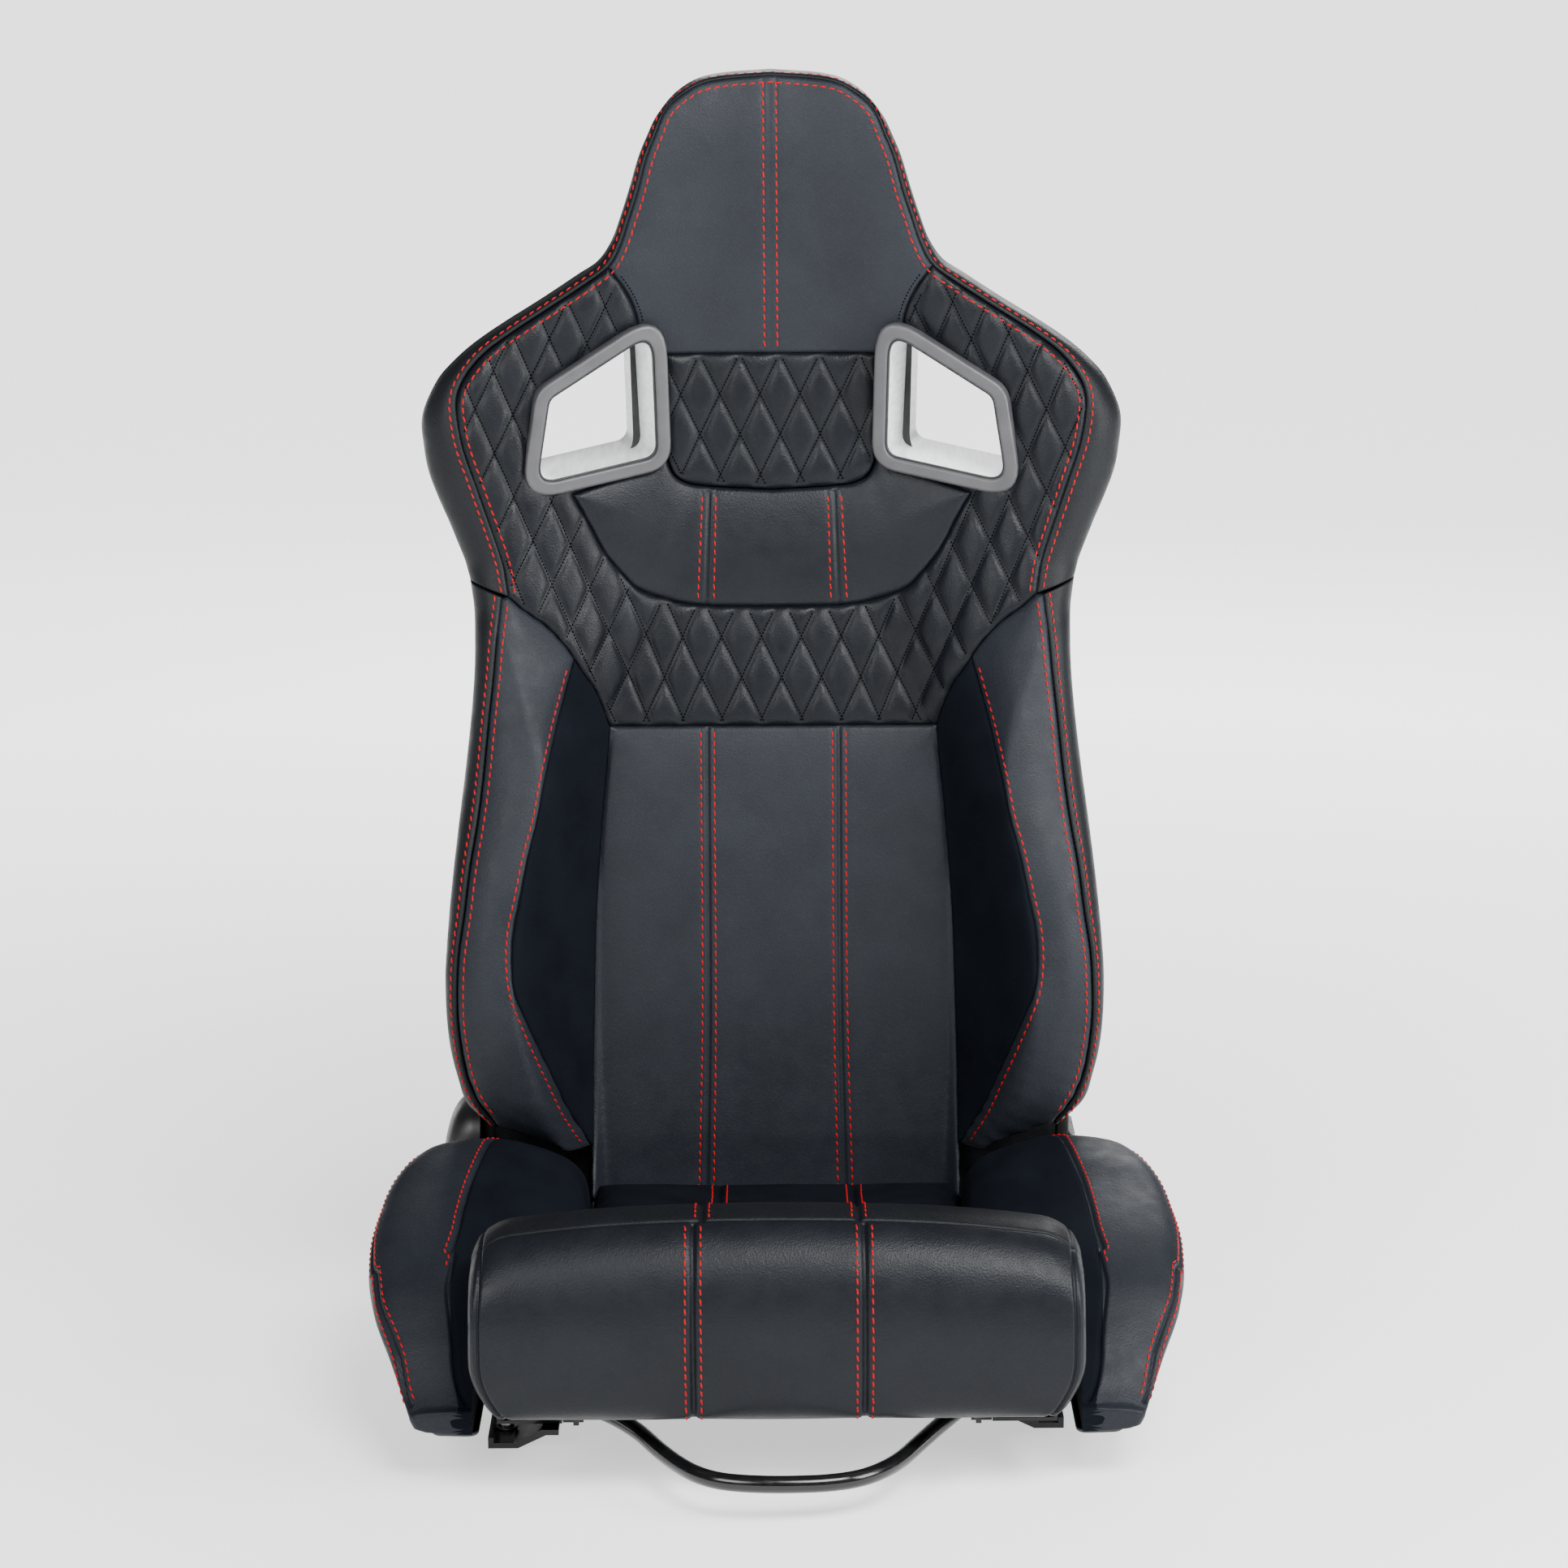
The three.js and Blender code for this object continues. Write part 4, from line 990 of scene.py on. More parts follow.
def band_section(seam_x, seam_z, edge_x, edge_z):
    """One cross-section of the side band: from the seam round the silhouette to the rear shell."""
    start = np.array([seam_x, back_front(seam_x, seam_z), seam_z])
    out = np.array([edge_x - seam_x, 0, edge_z - seam_z])
    width = np.linalg.norm(out)
    out = out / width
    rear = foam_rear(edge_x, edge_z) + 2.5
    front_slope = 0.35 * (back_front(edge_x, edge_z) - start[1])
    bulge = min(0.95 * width + 5, 24)
    turn = np.linspace(0, math.pi / 2, 15)
    reach = list(width * np.sin(turn))
    depth = list(start[1] + (bulge + front_slope) * (1 - np.cos(turn)))
    for t in np.linspace(0.08, 1, 9):
        depth.append(depth[14] + (rear - depth[14]) * t)
        reach.append(width + 1.2 * math.sin(math.pi * t) - 2.5 * t**4)
    reach.append(width - 8)
    depth.append(rear + 1)
    fine = resample(np.stack([reach, depth], 1), 0.4)
    along = lengths(fine)
    marks = np.concatenate([[0], RIM_STEPS, np.linspace(6.5, along[-1], 22)])
    reach = np.interp(marks, along, fine[:, 0])
    depth = np.interp(marks, along, fine[:, 1])
    slope = np.gradient(np.stack([reach, depth], 1), axis=0)
    slope /= np.linalg.norm(slope, axis=1, keepdims=True)
    normal = np.stack([out[0] * slope[:, 1], -slope[:, 0], out[2] * slope[:, 1]], 1)
    points = start * [1, 0, 1] + reach[:, None] * out + depth[:, None] * np.array([0, 1, 0])
    return points, normal, marks


def band_mesh(seam, end_rolls):
    """The side band along a seam: its points by station, and a stitch line beside the seam."""
    along = lengths(seam[:, 2:])
    stations = np.unique(np.concatenate([
        np.linspace(0, along[-1], int(along[-1] / 3.2)),
        *[along[-1] * end + (1 - 2 * end) * np.array((0.15, 0.4, 0.8, 1.2, 2.6)) for end in end_rolls]]))
    rows, lines = [], []
    for s in stations:
        control = [np.interp(s, along, column) for column in seam.T]
        points, normal, marks = band_section(*control)
        from_end = min([abs(s - along[-1] * end) for end in end_rolls], default=99)
        rise = rolled(marks, EDGE_RADIUS) + rolled(np.array([from_end]), 1.2)
        rise = rise - 0.4 * np.exp(-((marks - STITCH_OFFSET) / 1.3) ** 2)
        rows.append(points + normal * rise[:, None])
        lines.append([np.interp(STITCH_OFFSET, marks, column)
                      for column in np.hstack([points + normal * rise[:, None], normal]).T])
    return np.array(rows), np.array(lines)


def thick_band(rows, depth=3.0):
    """The band as leather over foam: the outside skin, and an inside skin joined at the rims."""
    du = np.gradient(rows, axis=0)
    dv = np.gradient(rows, axis=1)
    normal = np.cross(du, dv)
    normal /= np.maximum(np.linalg.norm(normal, axis=2, keepdims=True), 1e-9)
    middle = rows.mean((0, 1))
    if np.sum((rows - middle) * normal * [1, 0, 1]) < 0:
        normal = -normal
    inner = rows - normal * depth
    return loft(np.concatenate([rows, inner[:, ::-1]], 1))


def make_bands():
    """Side band over the head and wings, and one down each bolster; gives their stitch lines."""
    around = np.vstack([flip(upper_seam[::-1]) * [1, 1, -1, 1], upper_seam[1:]])
    rows, upper_row = band_mesh(around, (0, 1))
    # The bands take the darker band leather: painted shade on the backrest's sides.
    outward(build("side_band_upper", *thick_band(rows), SHADED_BAND_LEATHER, "back", "smooth_leather", fill=0.8))
    stitch_rows = [upper_row]
    for name, side in SIDES.items():
        seam = lower_seam * [side, 1, side, 1]
        rows, row = band_mesh(seam, (0,))
        outward(build(f"side_band_lower_{name}", *thick_band(rows), SHADED_BAND_LEATHER, "back", "smooth_leather", fill=0.8))
        stitch_rows.append(row)
    return stitch_rows


head_mesh = make_head()
upper_outline, upper_mesh = make_upper_quilt()
bib_mesh = make_bib()
yoke_outline, yoke_mesh = make_yoke()
centre_rows, centre_mesh = make_centre()
bolster_meshes = [mesh for name, side in SIDES.items() for mesh in make_bolster(name, side)]
band_rows = make_bands()
front_leather = Surface(head_mesh, upper_mesh, bib_mesh, yoke_mesh, centre_mesh, *bolster_meshes)

# ---------------------------------------------------------------- backrest stitching


def outside_bezels(line, margin=BEZEL_WIDTH + 1):
    """The parts of a line that no bezel covers."""
    hidden = np.zeros(len(line), bool)
    for s in SIDES.values():
        hidden |= inside(line, hole_plan(s, margin))
    cuts = np.flatnonzero(np.diff(hidden.astype(int))) + 1
    return [run for run, gone in zip(np.split(line, cuts), np.split(hidden, cuts)) if not gone[0]]


def within(line, outline, clear):
    """The parts of a line well inside an outline."""
    edge = resample(np.vstack([outline, outline[:1]]), 1.0)
    good = inside(line, outline) & (nearest(line, edge) > clear)
    cuts = np.flatnonzero(np.diff(good.astype(int))) + 1
    return [run for run, ok in zip(np.split(line, cuts), np.split(good, cuts)) if ok[0] and len(run) > 4]


def quilting_lines():
    """Every quilting line across the backrest, in x and z."""
    tall = DIAMOND[1]
    lines = []
    for way in (1, -1):
        for k in np.arange(-14, 15):
            up = np.arange(-5, 1.2, 0.8 / tall)
            x = lattice_x(k - way * up)
            z = up * tall + DIAMOND_FOOT + lattice_tilt(x)
            keep = np.abs(x) < 240
            if keep.sum() > 8:
                lines.append(np.stack([x, z], 1)[keep])
    return lines


def red_panel_rows():
    """Red rows that lie on the front panels."""
    rows = [straight(*flip(HEAD_ROW, s)) for s in (1, -1)]
    rows += [curve([(s * a, 625), (s * b, 546)]) for s in (1, -1) for a, b in BIB_ROWS]
    rows += centre_rows
    around = np.vstack([flip(upper_line[::-1]), upper_line[1:]])
    rows.append(beside(around, -STITCH_OFFSET * 0.95))
    for s in SIDES.values():
        lower = flip(lower_line[2:-4], s)
        rows.append(beside(lower, -s * STITCH_OFFSET * 0.9))
        seam = flip(bolster_seam[2:-3], s)
        rows.append(beside(seam, s * 4.0))
    return rows


def make_back_stitches():
    red = []
    for line in red_panel_rows():
        red.append(sew(*front_leather.from_front(resample(line, 1.5)), **RED))
    for row in band_rows:
        red.append(sew(row[:, :3], row[:, 3:], **RED))
    build("back_red_stitches", *merge(red), RED_THREAD, "back", "red_thread")
    black = []
    for line in quilting_lines():
        for outline in (upper_outline, yoke_outline):
            for run in within(line, outline, 2.5):
                for part in outside_bezels(run):
                    if len(part) > 6:
                        black.append(sew(*front_leather.from_front(part, -0.25), **BLACK))
    for s in SIDES.values():
        seam = beside(flip(head_side[4:], s), -s * 3.4)
        for part in outside_bezels(resample(seam, 1.0)):
            black.append(sew(*front_leather.from_front(part), **BLACK))
    build("back_black_stitches", *merge(black), BLACK_THREAD, "back", "black_thread")


make_back_stitches()

# ---------------------------------------------------------------- rear shell


def shell_outline():
    side = curve(SHELL_EDGE, 5)
    notch = np.array(SHELL_NOTCH, float)
    half = np.vstack([side, resample(np.vstack([side[-1:], notch[:1]]), 5)[1:], resample(notch, 5)[1:]])
    return ring(half, flip(half[::-1]))


def shell_height(flat, from_edge):
    """A raised border round a sunken field with two shallow ribs."""
    x, z = flat.T
    field = np.clip((from_edge - 34) / 7, 0, 1)
    rise = -3.0 * field * field * (3 - 2 * field)
    for rib in (330, 440, 550):
        away = np.abs(z - rib) / 9
        across = np.clip((150 - np.abs(x)) / 12, 0, 1)
        rise += 2.2 * np.exp(-away**4) * across
    return rise


def make_shell():
    outline = shell_outline()
    holes = [hole_plan(s, SHELL_HOLE_MARGIN, SHELL_DEPTH + PAD_DEPTH + 20) for s in SIDES.values()]
    mesh = panel(outline, shell_height, 7.0, holes=holes, base=shell_rear, facing=1, thickness=34, radius=12)
    outward(build("rear_shell_cover", *mesh, SHELL, "back", "rear_shell", ["rear_shell"], sharp=60))


make_shell()

# ---------------------------------------------------------------- seat base cushions


def closed_curve(points, count, rounds=3):
    """A closed polygon, its corners cut round, as a set number of even points."""
    p = np.asarray(points, float)
    for _ in range(rounds):
        nxt = np.roll(p, -1, 0)
        p = np.stack([p * 0.78 + nxt * 0.22, p * 0.22 + nxt * 0.78], 1).reshape(-1, p.shape[1])
    loop = np.vstack([p, p[:1]])
    along = lengths(loop)
    return between(np.linspace(0, along[-1], count, endpoint=False), along, loop)


def ends_rounded(rings, axis, reach=9.0):
    """Closes a row of rings with softly rounded ends."""
    rings = [np.asarray(r, float) for r in rings]
    for end in (0, -1):
        edge = rings[end]
        middle = edge.mean(0)
        way = -1 if edge[0][axis] < rings[-1 if end == 0 else 0][0][axis] else 1
        caps = []
        for t in (0.25, 0.5, 0.75, 0.92, 1.0):
            size = 1 - 0.11 * (1 - math.sqrt(1 - t * t))
            cap = middle + (edge - middle) * size
            cap[:, axis] = edge[:, axis] + way * reach * t * 0.6
            caps.append(cap)
        for size in (0.72, 0.5, 0.28, 0.1):
            cap = middle + (edge - middle) * size
            cap[:, axis] = edge[:, axis] + way * reach * (0.6 + 0.12 * (0.9 - size))
            caps.append(cap)
        rings = caps[::-1] + rings if end == 0 else rings + caps
    return rings


def bolster_ring(y, top, outer, side):
    low, inner = BOLSTER_LOW, BOLSTER_INNER
    foot = outer - 34 * min(1, (top - low) / 100)
    waist = low + (top - low) * 0.66
    drop = min(1, (top - low) / 90)
    corners = [(inner, low), (foot, low), (outer, waist), (outer - 3, top - 14 * drop),
               (outer - 14, top - 5 * drop), (outer - 34, top - drop), (202, top), (172, top - 8 * drop),
               (150, top - 18 * drop), (inner, top - 36 * drop)]
    loop = closed_curve(corners, BOLSTER_COLUMNS, 2)
    return np.stack([side * loop[:, 0], np.full(len(loop), y), loop[:, 1]], 1)


def bolster_limits(points, side):
    """Keeps a base bolster clear of the thigh roll, the pan and the rails."""
    x, y, z = points.T
    ahead = np.clip((-113 - y) / 6, 0, 1)
    least = BOLSTER_INNER + ahead * (ROLL_HALF + 0.6 - BOLSTER_INNER)
    low = np.clip((64 - z) / 8, 0, 1)
    least = np.maximum(least, BOLSTER_INNER + low * (205.3 - BOLSTER_INNER))
    points[:, 0] = side * np.maximum(side * x, least)
    points[:, 2] = np.maximum(points[:, 2], BOLSTER_LOW - 2)
    return points


def base_bolster(side):
    top = smooth([(y, t) for y, t, _ in BOLSTER_BASE])
    outer = smooth([(y, o) for y, _, o in BOLSTER_BASE])
    stations = np.concatenate([np.linspace(71, -180, 88), np.linspace(-182.5, -213, 14)])
    rings = [bolster_ring(y, float(top(y)) - 2, float(outer(y)), side) for y in stations]
    points, faces = loft(ends_rounded(rings, 1))
    return bolster_limits(points, side), faces


def roll_shaped(points):
    """The roll's ends: lower on top, and drawn in underneath."""
    x, _, z = points.T
    end = np.abs(x) / ROLL_HALF
    high = np.clip((z - ROLL_MIDDLE[1]) / ROLL_HALF_HEIGHT, 0, 1)
    low = np.clip((104 - z) / 50, 0, 1)
    corner = np.clip((end - 0.86) / 0.14, 0, 1)
    points[:, 2] = z - (ROLL_CROWN * end ** 2.5 + 15 * corner ** 2.2) * high
    points[:, 0] = x * (1 - 0.12 * low ** 2 * end ** 3)
    return points


def thigh_roll():
    profile = closed_curve(curve(ROLL_PROFILE, 12, closed=True)[:-1], 150, 1)
    profile = ROLL_MIDDLE + (profile - ROLL_MIDDLE) * 0.965
    rings = [np.insert(profile, 0, x, axis=1) for x in np.linspace(-200, 200, 130)]
    points, faces = loft(ends_rounded(rings, 0, 14))
    return roll_limits(roll_shaped(points)), faces


def roll_limits(points):
    """Keeps the thigh roll clear of the pan, the cushion and the bolsters."""
    points[:, 0] = np.clip(points[:, 0], -ROLL_HALF, ROLL_HALF)
    points[:, 1] = np.minimum(points[:, 1], -121.5)
    points[:, 2] = np.where(points[:, 1] > -187, np.maximum(points[:, 2], 63), points[:, 2])
    return points


def rear_cushion():
    top = smooth(CUSHION_TOP)
    rings = []
    for x in np.linspace(-131, 131, 84):
        y = np.linspace(-119, 91, 40)
        loop = [(91, CUSHION_BOTTOM + 2), (-119, CUSHION_BOTTOM + 2)] + list(zip(y, top(y)))
        rings.append(np.insert(closed_curve(loop, 130, 2), 0, x, axis=1))
    points, faces = loft(ends_rounded(rings, 0, 9))
    return cushion_limits(points), faces


def cushion_limits(points):
    points[:, 0] = np.clip(points[:, 0], -CUSHION_HALF, CUSHION_HALF)
    points[:, 1] = np.clip(points[:, 1], -120, 93)
    points[:, 2] = np.maximum(points[:, 2], 53)
    return points


# Seams on the base, as points in space that lie near the leather.
BASE_INNER_SEAM = [(196, 66, 150), (198, 50, 167), (208, 30, 173), (212, 15, 173), (215, -10, 169),
                   (221, -40, 161), (225, -90, 148), (228, -137, 128), (227, -160, 112), (224, -190, 82),
                   (219, -212, 56)]
BASE_OUTER_SEAM = [(247, 62, 132), (256, 45, 155), (268, 20, 159), (277, 0, 152), (285, -40, 143),
                   (288, -90, 130), (284, -120, 122), (277, -145, 109), (268, -167, 94), (261, -185, 78),
                   (254, -198, 63), (245, -210, 48)]
ROLL_ROWS = [(-56.5, -50.5), (59.5, 56)]
ROLL_ROW_GAP = 5.2
CUSHION_ROWS = [-42, 58]


def over_roll(front, top):
    """A line over the thigh roll, at one x up to the cross seam and at another behind it."""
    profile = curve(ROLL_PROFILE[1:], 4)
    behind = (profile[:, 0] > ROLL_SEAM_Y) & (profile[:, 1] > ROLL_MIDDLE[1])
    return [roll_shaped(np.insert(part, 0, x, axis=1))
            for x, part in ((front, profile[~behind]), (top, profile[behind]))]


def over_cushion(x):
    y = np.linspace(-116, 88, 70)
    return np.stack([np.full(70, float(x)), y, smooth(CUSHION_TOP)(y) + 3], 1)


def partly(piece, chosen, finish):
    """Gives the chosen faces of a piece a second finish."""
    piece.data.materials.append(finish)
    for face in piece.data.polygons:
        face.material_index = int(chosen(*(face.center / MM)))


def simulate(pieces, frames=20):
    """Lets air pressure swell the pads under cloth, with their seams held, then caps each move.
    pieces holds (object, seam points in mm, cap in mm, limits)."""
    scene = bpy.context.scene
    rest = []
    for piece, seams, _, _ in pieces:
        points = points_of(piece)
        rest.append(points)
        held = piece.vertex_groups.new(name="held")
        away = nearest(points, seams)
        for i in np.flatnonzero(away < 7):
            held.add([int(i)], float(np.clip(1.25 - away[i] / 5.6, 0, 1)), "REPLACE")
        cloth = piece.modifiers.new("Cloth", "CLOTH")
        cloth.settings.vertex_group_mass = "held"
        cloth.settings.use_pressure = True
        cloth.settings.uniform_pressure_force = 4.0
        cloth.settings.effector_weights.gravity = 0
        cloth.settings.quality = 4
        cloth.point_cache.frame_start = 1
        cloth.point_cache.frame_end = frames
    for number in range(1, frames + 1):
        scene.frame_set(number)
    scene_now = bpy.context.evaluated_depsgraph_get()
    for (piece, _, cap, limits), points in zip(pieces, rest):
        shown = piece.evaluated_get(scene_now).data
        swollen = np.array([v.co for v in shown.vertices]) / MM
        move = swollen - points
        size = np.linalg.norm(move, axis=1, keepdims=True)
        move *= cap * np.tanh(size / cap) / np.maximum(size, 1e-9)
        points = limits(points + move)
        piece.modifiers.clear()
        piece.data.vertices.foreach_set("co", (points * MM).ravel())
    scene.frame_set(1)


def refined(mesh, lines, reaches=(9.0, 6.0, 4.0)):
    """The mesh with its faces made smaller near lines on it."""
    work = bmesh.new()
    work.from_mesh(mesh)
    for reach in reaches:
        tree = tree_of(lines * MM)
        near = {v for v in work.verts if tree.find(v.co)[2] < reach * MM}
        edges = [e for e in work.edges if e.verts[0] in near and e.verts[1] in near]
        bmesh.ops.subdivide_edges(work, edges=edges, cuts=1, use_grid_fill=True)
    bmesh.ops.triangulate(work, faces=[f for f in work.faces if len(f.verts) > 4])
    work.to_mesh(mesh)
    work.free()


def press_seams(piece, seams):
    """Presses sewn lines into a pad. seams holds (points in mm, depth, width)."""
    points = points_of(piece)
    faces = [list(f.vertices) for f in piece.data.polygons]
    leather_now = Surface((points, faces))
    laid = [(resample(leather_now.nearest(resample(line, 1.5))[0], 0.8), depth, width)
            for line, depth, width in seams]
    refined(piece.data, np.vstack([line for line, _, _ in laid]))
    points = points_of(piece)
    normals = np.array([v.normal for v in piece.data.vertices])
    for line, depth, width in laid:
        away = nearest(points, line)
        points = points - normals * (depth * np.exp(-(away / width) ** 2))[:, None]
    piece.data.vertices.foreach_set("co", (points * MM).ravel())
    piece.data.update()
    piece.data.shade_smooth()
    return Surface((points, [list(f.vertices) for f in piece.data.polygons]))


def space_curve(points, side=1, step=2.0):
    return curve(flip(points, side), step)


def on_rings(piece, columns, line, offset=0.0):
    """A seam laid on a lofted pad: on each ring the place nearest the line, evened along the pad
    and moved round the ring by an offset."""
    grid = points_of(piece).reshape(-1, columns, 3)[END_RINGS:-END_RINGS]
    line = line[np.argsort(line[:, 1])]
    places, rings = [], []
    for points in grid:
        y = points[:, 1].mean()
        if line[0, 1] <= y <= line[-1, 1]:
            x, z = (np.interp(y, line[:, 1], line[:, k]) for k in (0, 2))
            loop = np.vstack([points, points[:1]])
            walk = lengths(loop)
            places.append(walk[np.argmin(np.hypot(points[:, 0] - x, points[:, 2] - z))])
            rings.append((walk, loop))
    places = evened(evened(np.array(places)[:, None], 6), 4)[:, 0] + offset
    return np.array([[np.interp(place, walk, column) for column in loop.T]
                     for place, (walk, loop) in zip(places, rings)])


def make_base():
    """Thigh roll, rear cushion and side bolsters, swollen by cloth simulation and then sewn."""
    # The roll takes the roll leather, which is darkened with painted shade.
    roll = outward(build("thigh_roll_cover", *thigh_roll(), SHADED_ROLL_LEATHER, "seat", "smooth_leather",
                         ["thigh_roll"], 0.9))
    cushion = outward(build("seat_cushion_cover", *rear_cushion(), MATTE, "seat", "smooth_leather",
                            ["seat_cushion"], 0.8))
    bolsters = {name: outward(build(f"seat_bolster_cover_{name}", *base_bolster(side), SMOOTH, "seat",
                                    "smooth_leather", [f"seat_bolster_{name}"], 0.85))
                for name, side in SIDES.items()}
    roll_valleys = [part for front, top in ROLL_ROWS for part in over_roll(front, top)]
    ends = [roll_shaped(np.insert(curve(ROLL_PROFILE, 3, closed=True), 0, s * (ROLL_HALF - 7), axis=1))
            for s in (1, -1)]
    cross = roll_shaped(np.array([(x, ROLL_SEAM_Y, 196.0) for x in np.linspace(-203, 203, 160)]))
    cushion_valleys = [over_cushion(x) for x in CUSHION_ROWS]
    inner = {name: space_curve(BASE_INNER_SEAM, side) for name, side in SIDES.items()}
    outer = {name: space_curve(BASE_OUTER_SEAM, side) for name, side in SIDES.items()}
    simulate([(roll, np.vstack(roll_valleys + ends), 6, roll_limits),
              (cushion, np.vstack(cushion_valleys), 6, cushion_limits)]
             + [(bolsters[name], np.vstack([inner[name], outer[name]]), 5,
                 lambda p, s=side: bolster_limits(p, s)) for name, side in SIDES.items()])
    roll_skin = press_seams(roll, [(v, 2.6, 2.2) for v in roll_valleys] + [(e, 2.0, 1.6) for e in ends]
                            + [(cross, 1.0, 1.5)])
    cushion_skin = press_seams(cushion, [(v, 2.6, 2.2) for v in cushion_valleys])
    # The roll's top behind the cross seam takes the darker band leather: painted shade on its upward face.
    partly(roll, lambda x, y, z: y > ROLL_SEAM_Y and z > ROLL_MIDDLE[1], SHADED_BAND_LEATHER)
    red = []
    for front, top in ROLL_ROWS:
        for gap in (-ROLL_ROW_GAP, ROLL_ROW_GAP):
            for part in over_roll(front + gap, top + 0.88 * gap):
                red.append(sew(*roll_skin.nearest(resample(part, 1.5)), **RED))
    for x in CUSHION_ROWS:
        for gap in (-5, 5):
            red.append(sew(*cushion_skin.nearest(resample(over_cushion(x + gap), 1.5)), **RED))
    for name in SIDES:
        pad = bolsters[name]
        seams = [on_rings(pad, BOLSTER_COLUMNS, line) for line in (inner[name], outer[name])]
        inner_row = on_rings(pad, BOLSTER_COLUMNS, inner[name], -4.2)
        rows = [inner_row[inner_row[:, 1] > INNER_ROW_END]]
        rows += [on_rings(pad, BOLSTER_COLUMNS, outer[name], gap) for gap in (-4.8, 4.8)]
        skin = press_seams(pad, [(seams[0], 2.4, 1.8), (seams[1], 2.6, 1.8)])
        seam_x = smooth([(y, x) for x, y, _ in BASE_INNER_SEAM])
        partly(pad, lambda x, y, z: abs(x) < seam_x(y), MATTE)
        for row in rows:
            red.append(sew(*skin.nearest(resample(row, 1.5)), **RED))
    build("seat_red_stitches", *merge(red), RED_THREAD, "seat", "red_thread")


make_base()

# ---------------------------------------------------------------- recliner cover, lever and bars


def arc(cy, cz, radius, start, end, steps=12):
    angle = np.radians(np.linspace(start, end, steps))
    return np.stack([cy + radius * np.cos(angle), cz + radius * np.sin(angle)], 1)


def make_recliner_cover():
    """Domed plastic cover over the recliner, falling away towards its top and outer face."""
    low, high = (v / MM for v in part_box("recliner_cover"))
    corners = [(low[1], low[2]), (high[1], low[2]), (high[1], high[2]), (low[1], high[2])]
    outline = rounded(corners, 30, 10)
    middle, root = (low[1] + high[1]) / 2, 92.0
    rings = [np.insert(outline, 0, COVER_INNER_X, axis=1)]
    for a in np.radians(np.linspace(0, 88, 14)):
        y = middle + (outline[:, 0] - middle) * (1 - 0.3 * (1 - math.cos(a)))
        z = root + (outline[:, 1] - root) * (1 - 0.5 * (1 - math.cos(a)))
        x = high[0] + (low[0] - high[0]) * math.sin(a)
        rings.append(np.stack([np.full(len(y), x), y, z], 1))
    outward(build("recliner_cover_shell", *loft(rings), PLASTIC, "seat", "black_plastic",
                  ["recliner_cover"], sharp=55))


def make_lever():
    """Recline lever: a boss round the shaft that thins to a finger grip."""
    y, z = PIVOT
    outline = curve([(y + 8, z - 5), (y + 9, z + 2), (y + 4, z + 8), (y - 4, z + 8), (y - 30, z - 6),
                     (y - 50, z - 20), (y - 56, z - 29), (y - 54, z - 36), (y - 46, z - 37), (y - 24, z - 24),
                     (y - 2, z - 9)], 2, closed=True)[:-1]
    body = plate(outline, *LEVER_X, bevel=3, steps=5)
    cap = plate(arc(y, z, 6, 0, 345, 24), LEVER_X[0] - 0.9, LEVER_X[0] + 2, bevel=0.8)
    outward(build("recline_lever_grip", *merge([body, cap]), PLASTIC, "recline_handle", "black_plastic",
                  ["recline_lever"], sharp=55))


def make_towel_bar():
    """Slide release bar, one bent rod with an eye at each end."""
    px, py = BAR_PIVOT
    path = curve([(x, y, BAR_Z) for x, y in BAR_PATH], 4)
    rod = tube(path, BAR_RADIUS, 18)
    eyes = [plate(arc(py, BAR_Z, 10, 0, 345, 24), s * px - 3.5, s * px + 3.5, bevel=1) for s in (1, -1)]
    outward(build("towel_bar_rod", *merge([rod, *eyes]), BLACK_METAL, "slide_bar", "black_metal",
                  ["towel_bar"], sharp=55))


def make_foot_trim():
    """Leather over the backrest's lower corners, sheaths on the recliner arms, sills under the bolsters."""
    corners = [(118, 97), (138, 97), (138, 74), (216, 74), (216, 172), (118, 172)]
    sheath = [(101, 84), (150, 80), (158, 214), (112, 214)]
    sill = [(206, -207), (236, -205), (244, -190), (255, -150), (261, -100), (261, -50), (251, 0), (235, 40),
            (206, 52)]
    for name, side in SIDES.items():
        cover = plate(flip(rounded(corners, 4), side), 108, 120, axis=1, bevel=3, steps=4)
        # The foot corners take the darker band leather: painted shade low behind the cushion.
        outward(build(f"back_foot_cover_{name}", *cover, SHADED_BAND_LEATHER, "back", "smooth_leather", fill=0.8))
        low, high = sorted((side * 212, side * 221.9))
        guard = plate(rounded(sheath, 10), low, high, bevel=1.5)
        outward(build(f"recliner_arm_sheath_{name}", *guard, PLASTIC, "back", "black_plastic", sharp=50))
        strip = plate(flip(rounded(sill, 9), side), BOLSTER_LOW - 5.5, BOLSTER_LOW - 2.2, axis=2, bevel=1.2)
        outward(build(f"bolster_sill_{name}", *strip, PLASTIC, "seat", "black_plastic", sharp=50))


make_recliner_cover()
make_lever()
make_towel_bar()
make_foot_trim()

# ---------------------------------------------------------------- fasteners


def screw(place, along, radius, height, sides=6):
    """A hexagon bolt head on a washer, facing along."""
    along = Vector(along).normalized()
    turn = along.to_track_quat("Z", "Y").to_matrix()

    def drum(r, low, high, count, soften):
        angle = np.arange(count) * 2 * math.pi / count
        outline = np.stack([r * np.cos(angle), r * np.sin(angle)], 1)
        points, faces = plate(outline, low, high, axis=2, bevel=soften, steps=2)
        return np.array([turn @ Vector(p) for p in points]) + np.array(place, float), faces

    return [drum(radius * 1.35, 0, 1.2, 24, 0.4), drum(radius, 1.1, height, sides, 0.7),
            drum(radius * 0.5, height - 0.2, height + 0.6, 20, 0.4)]


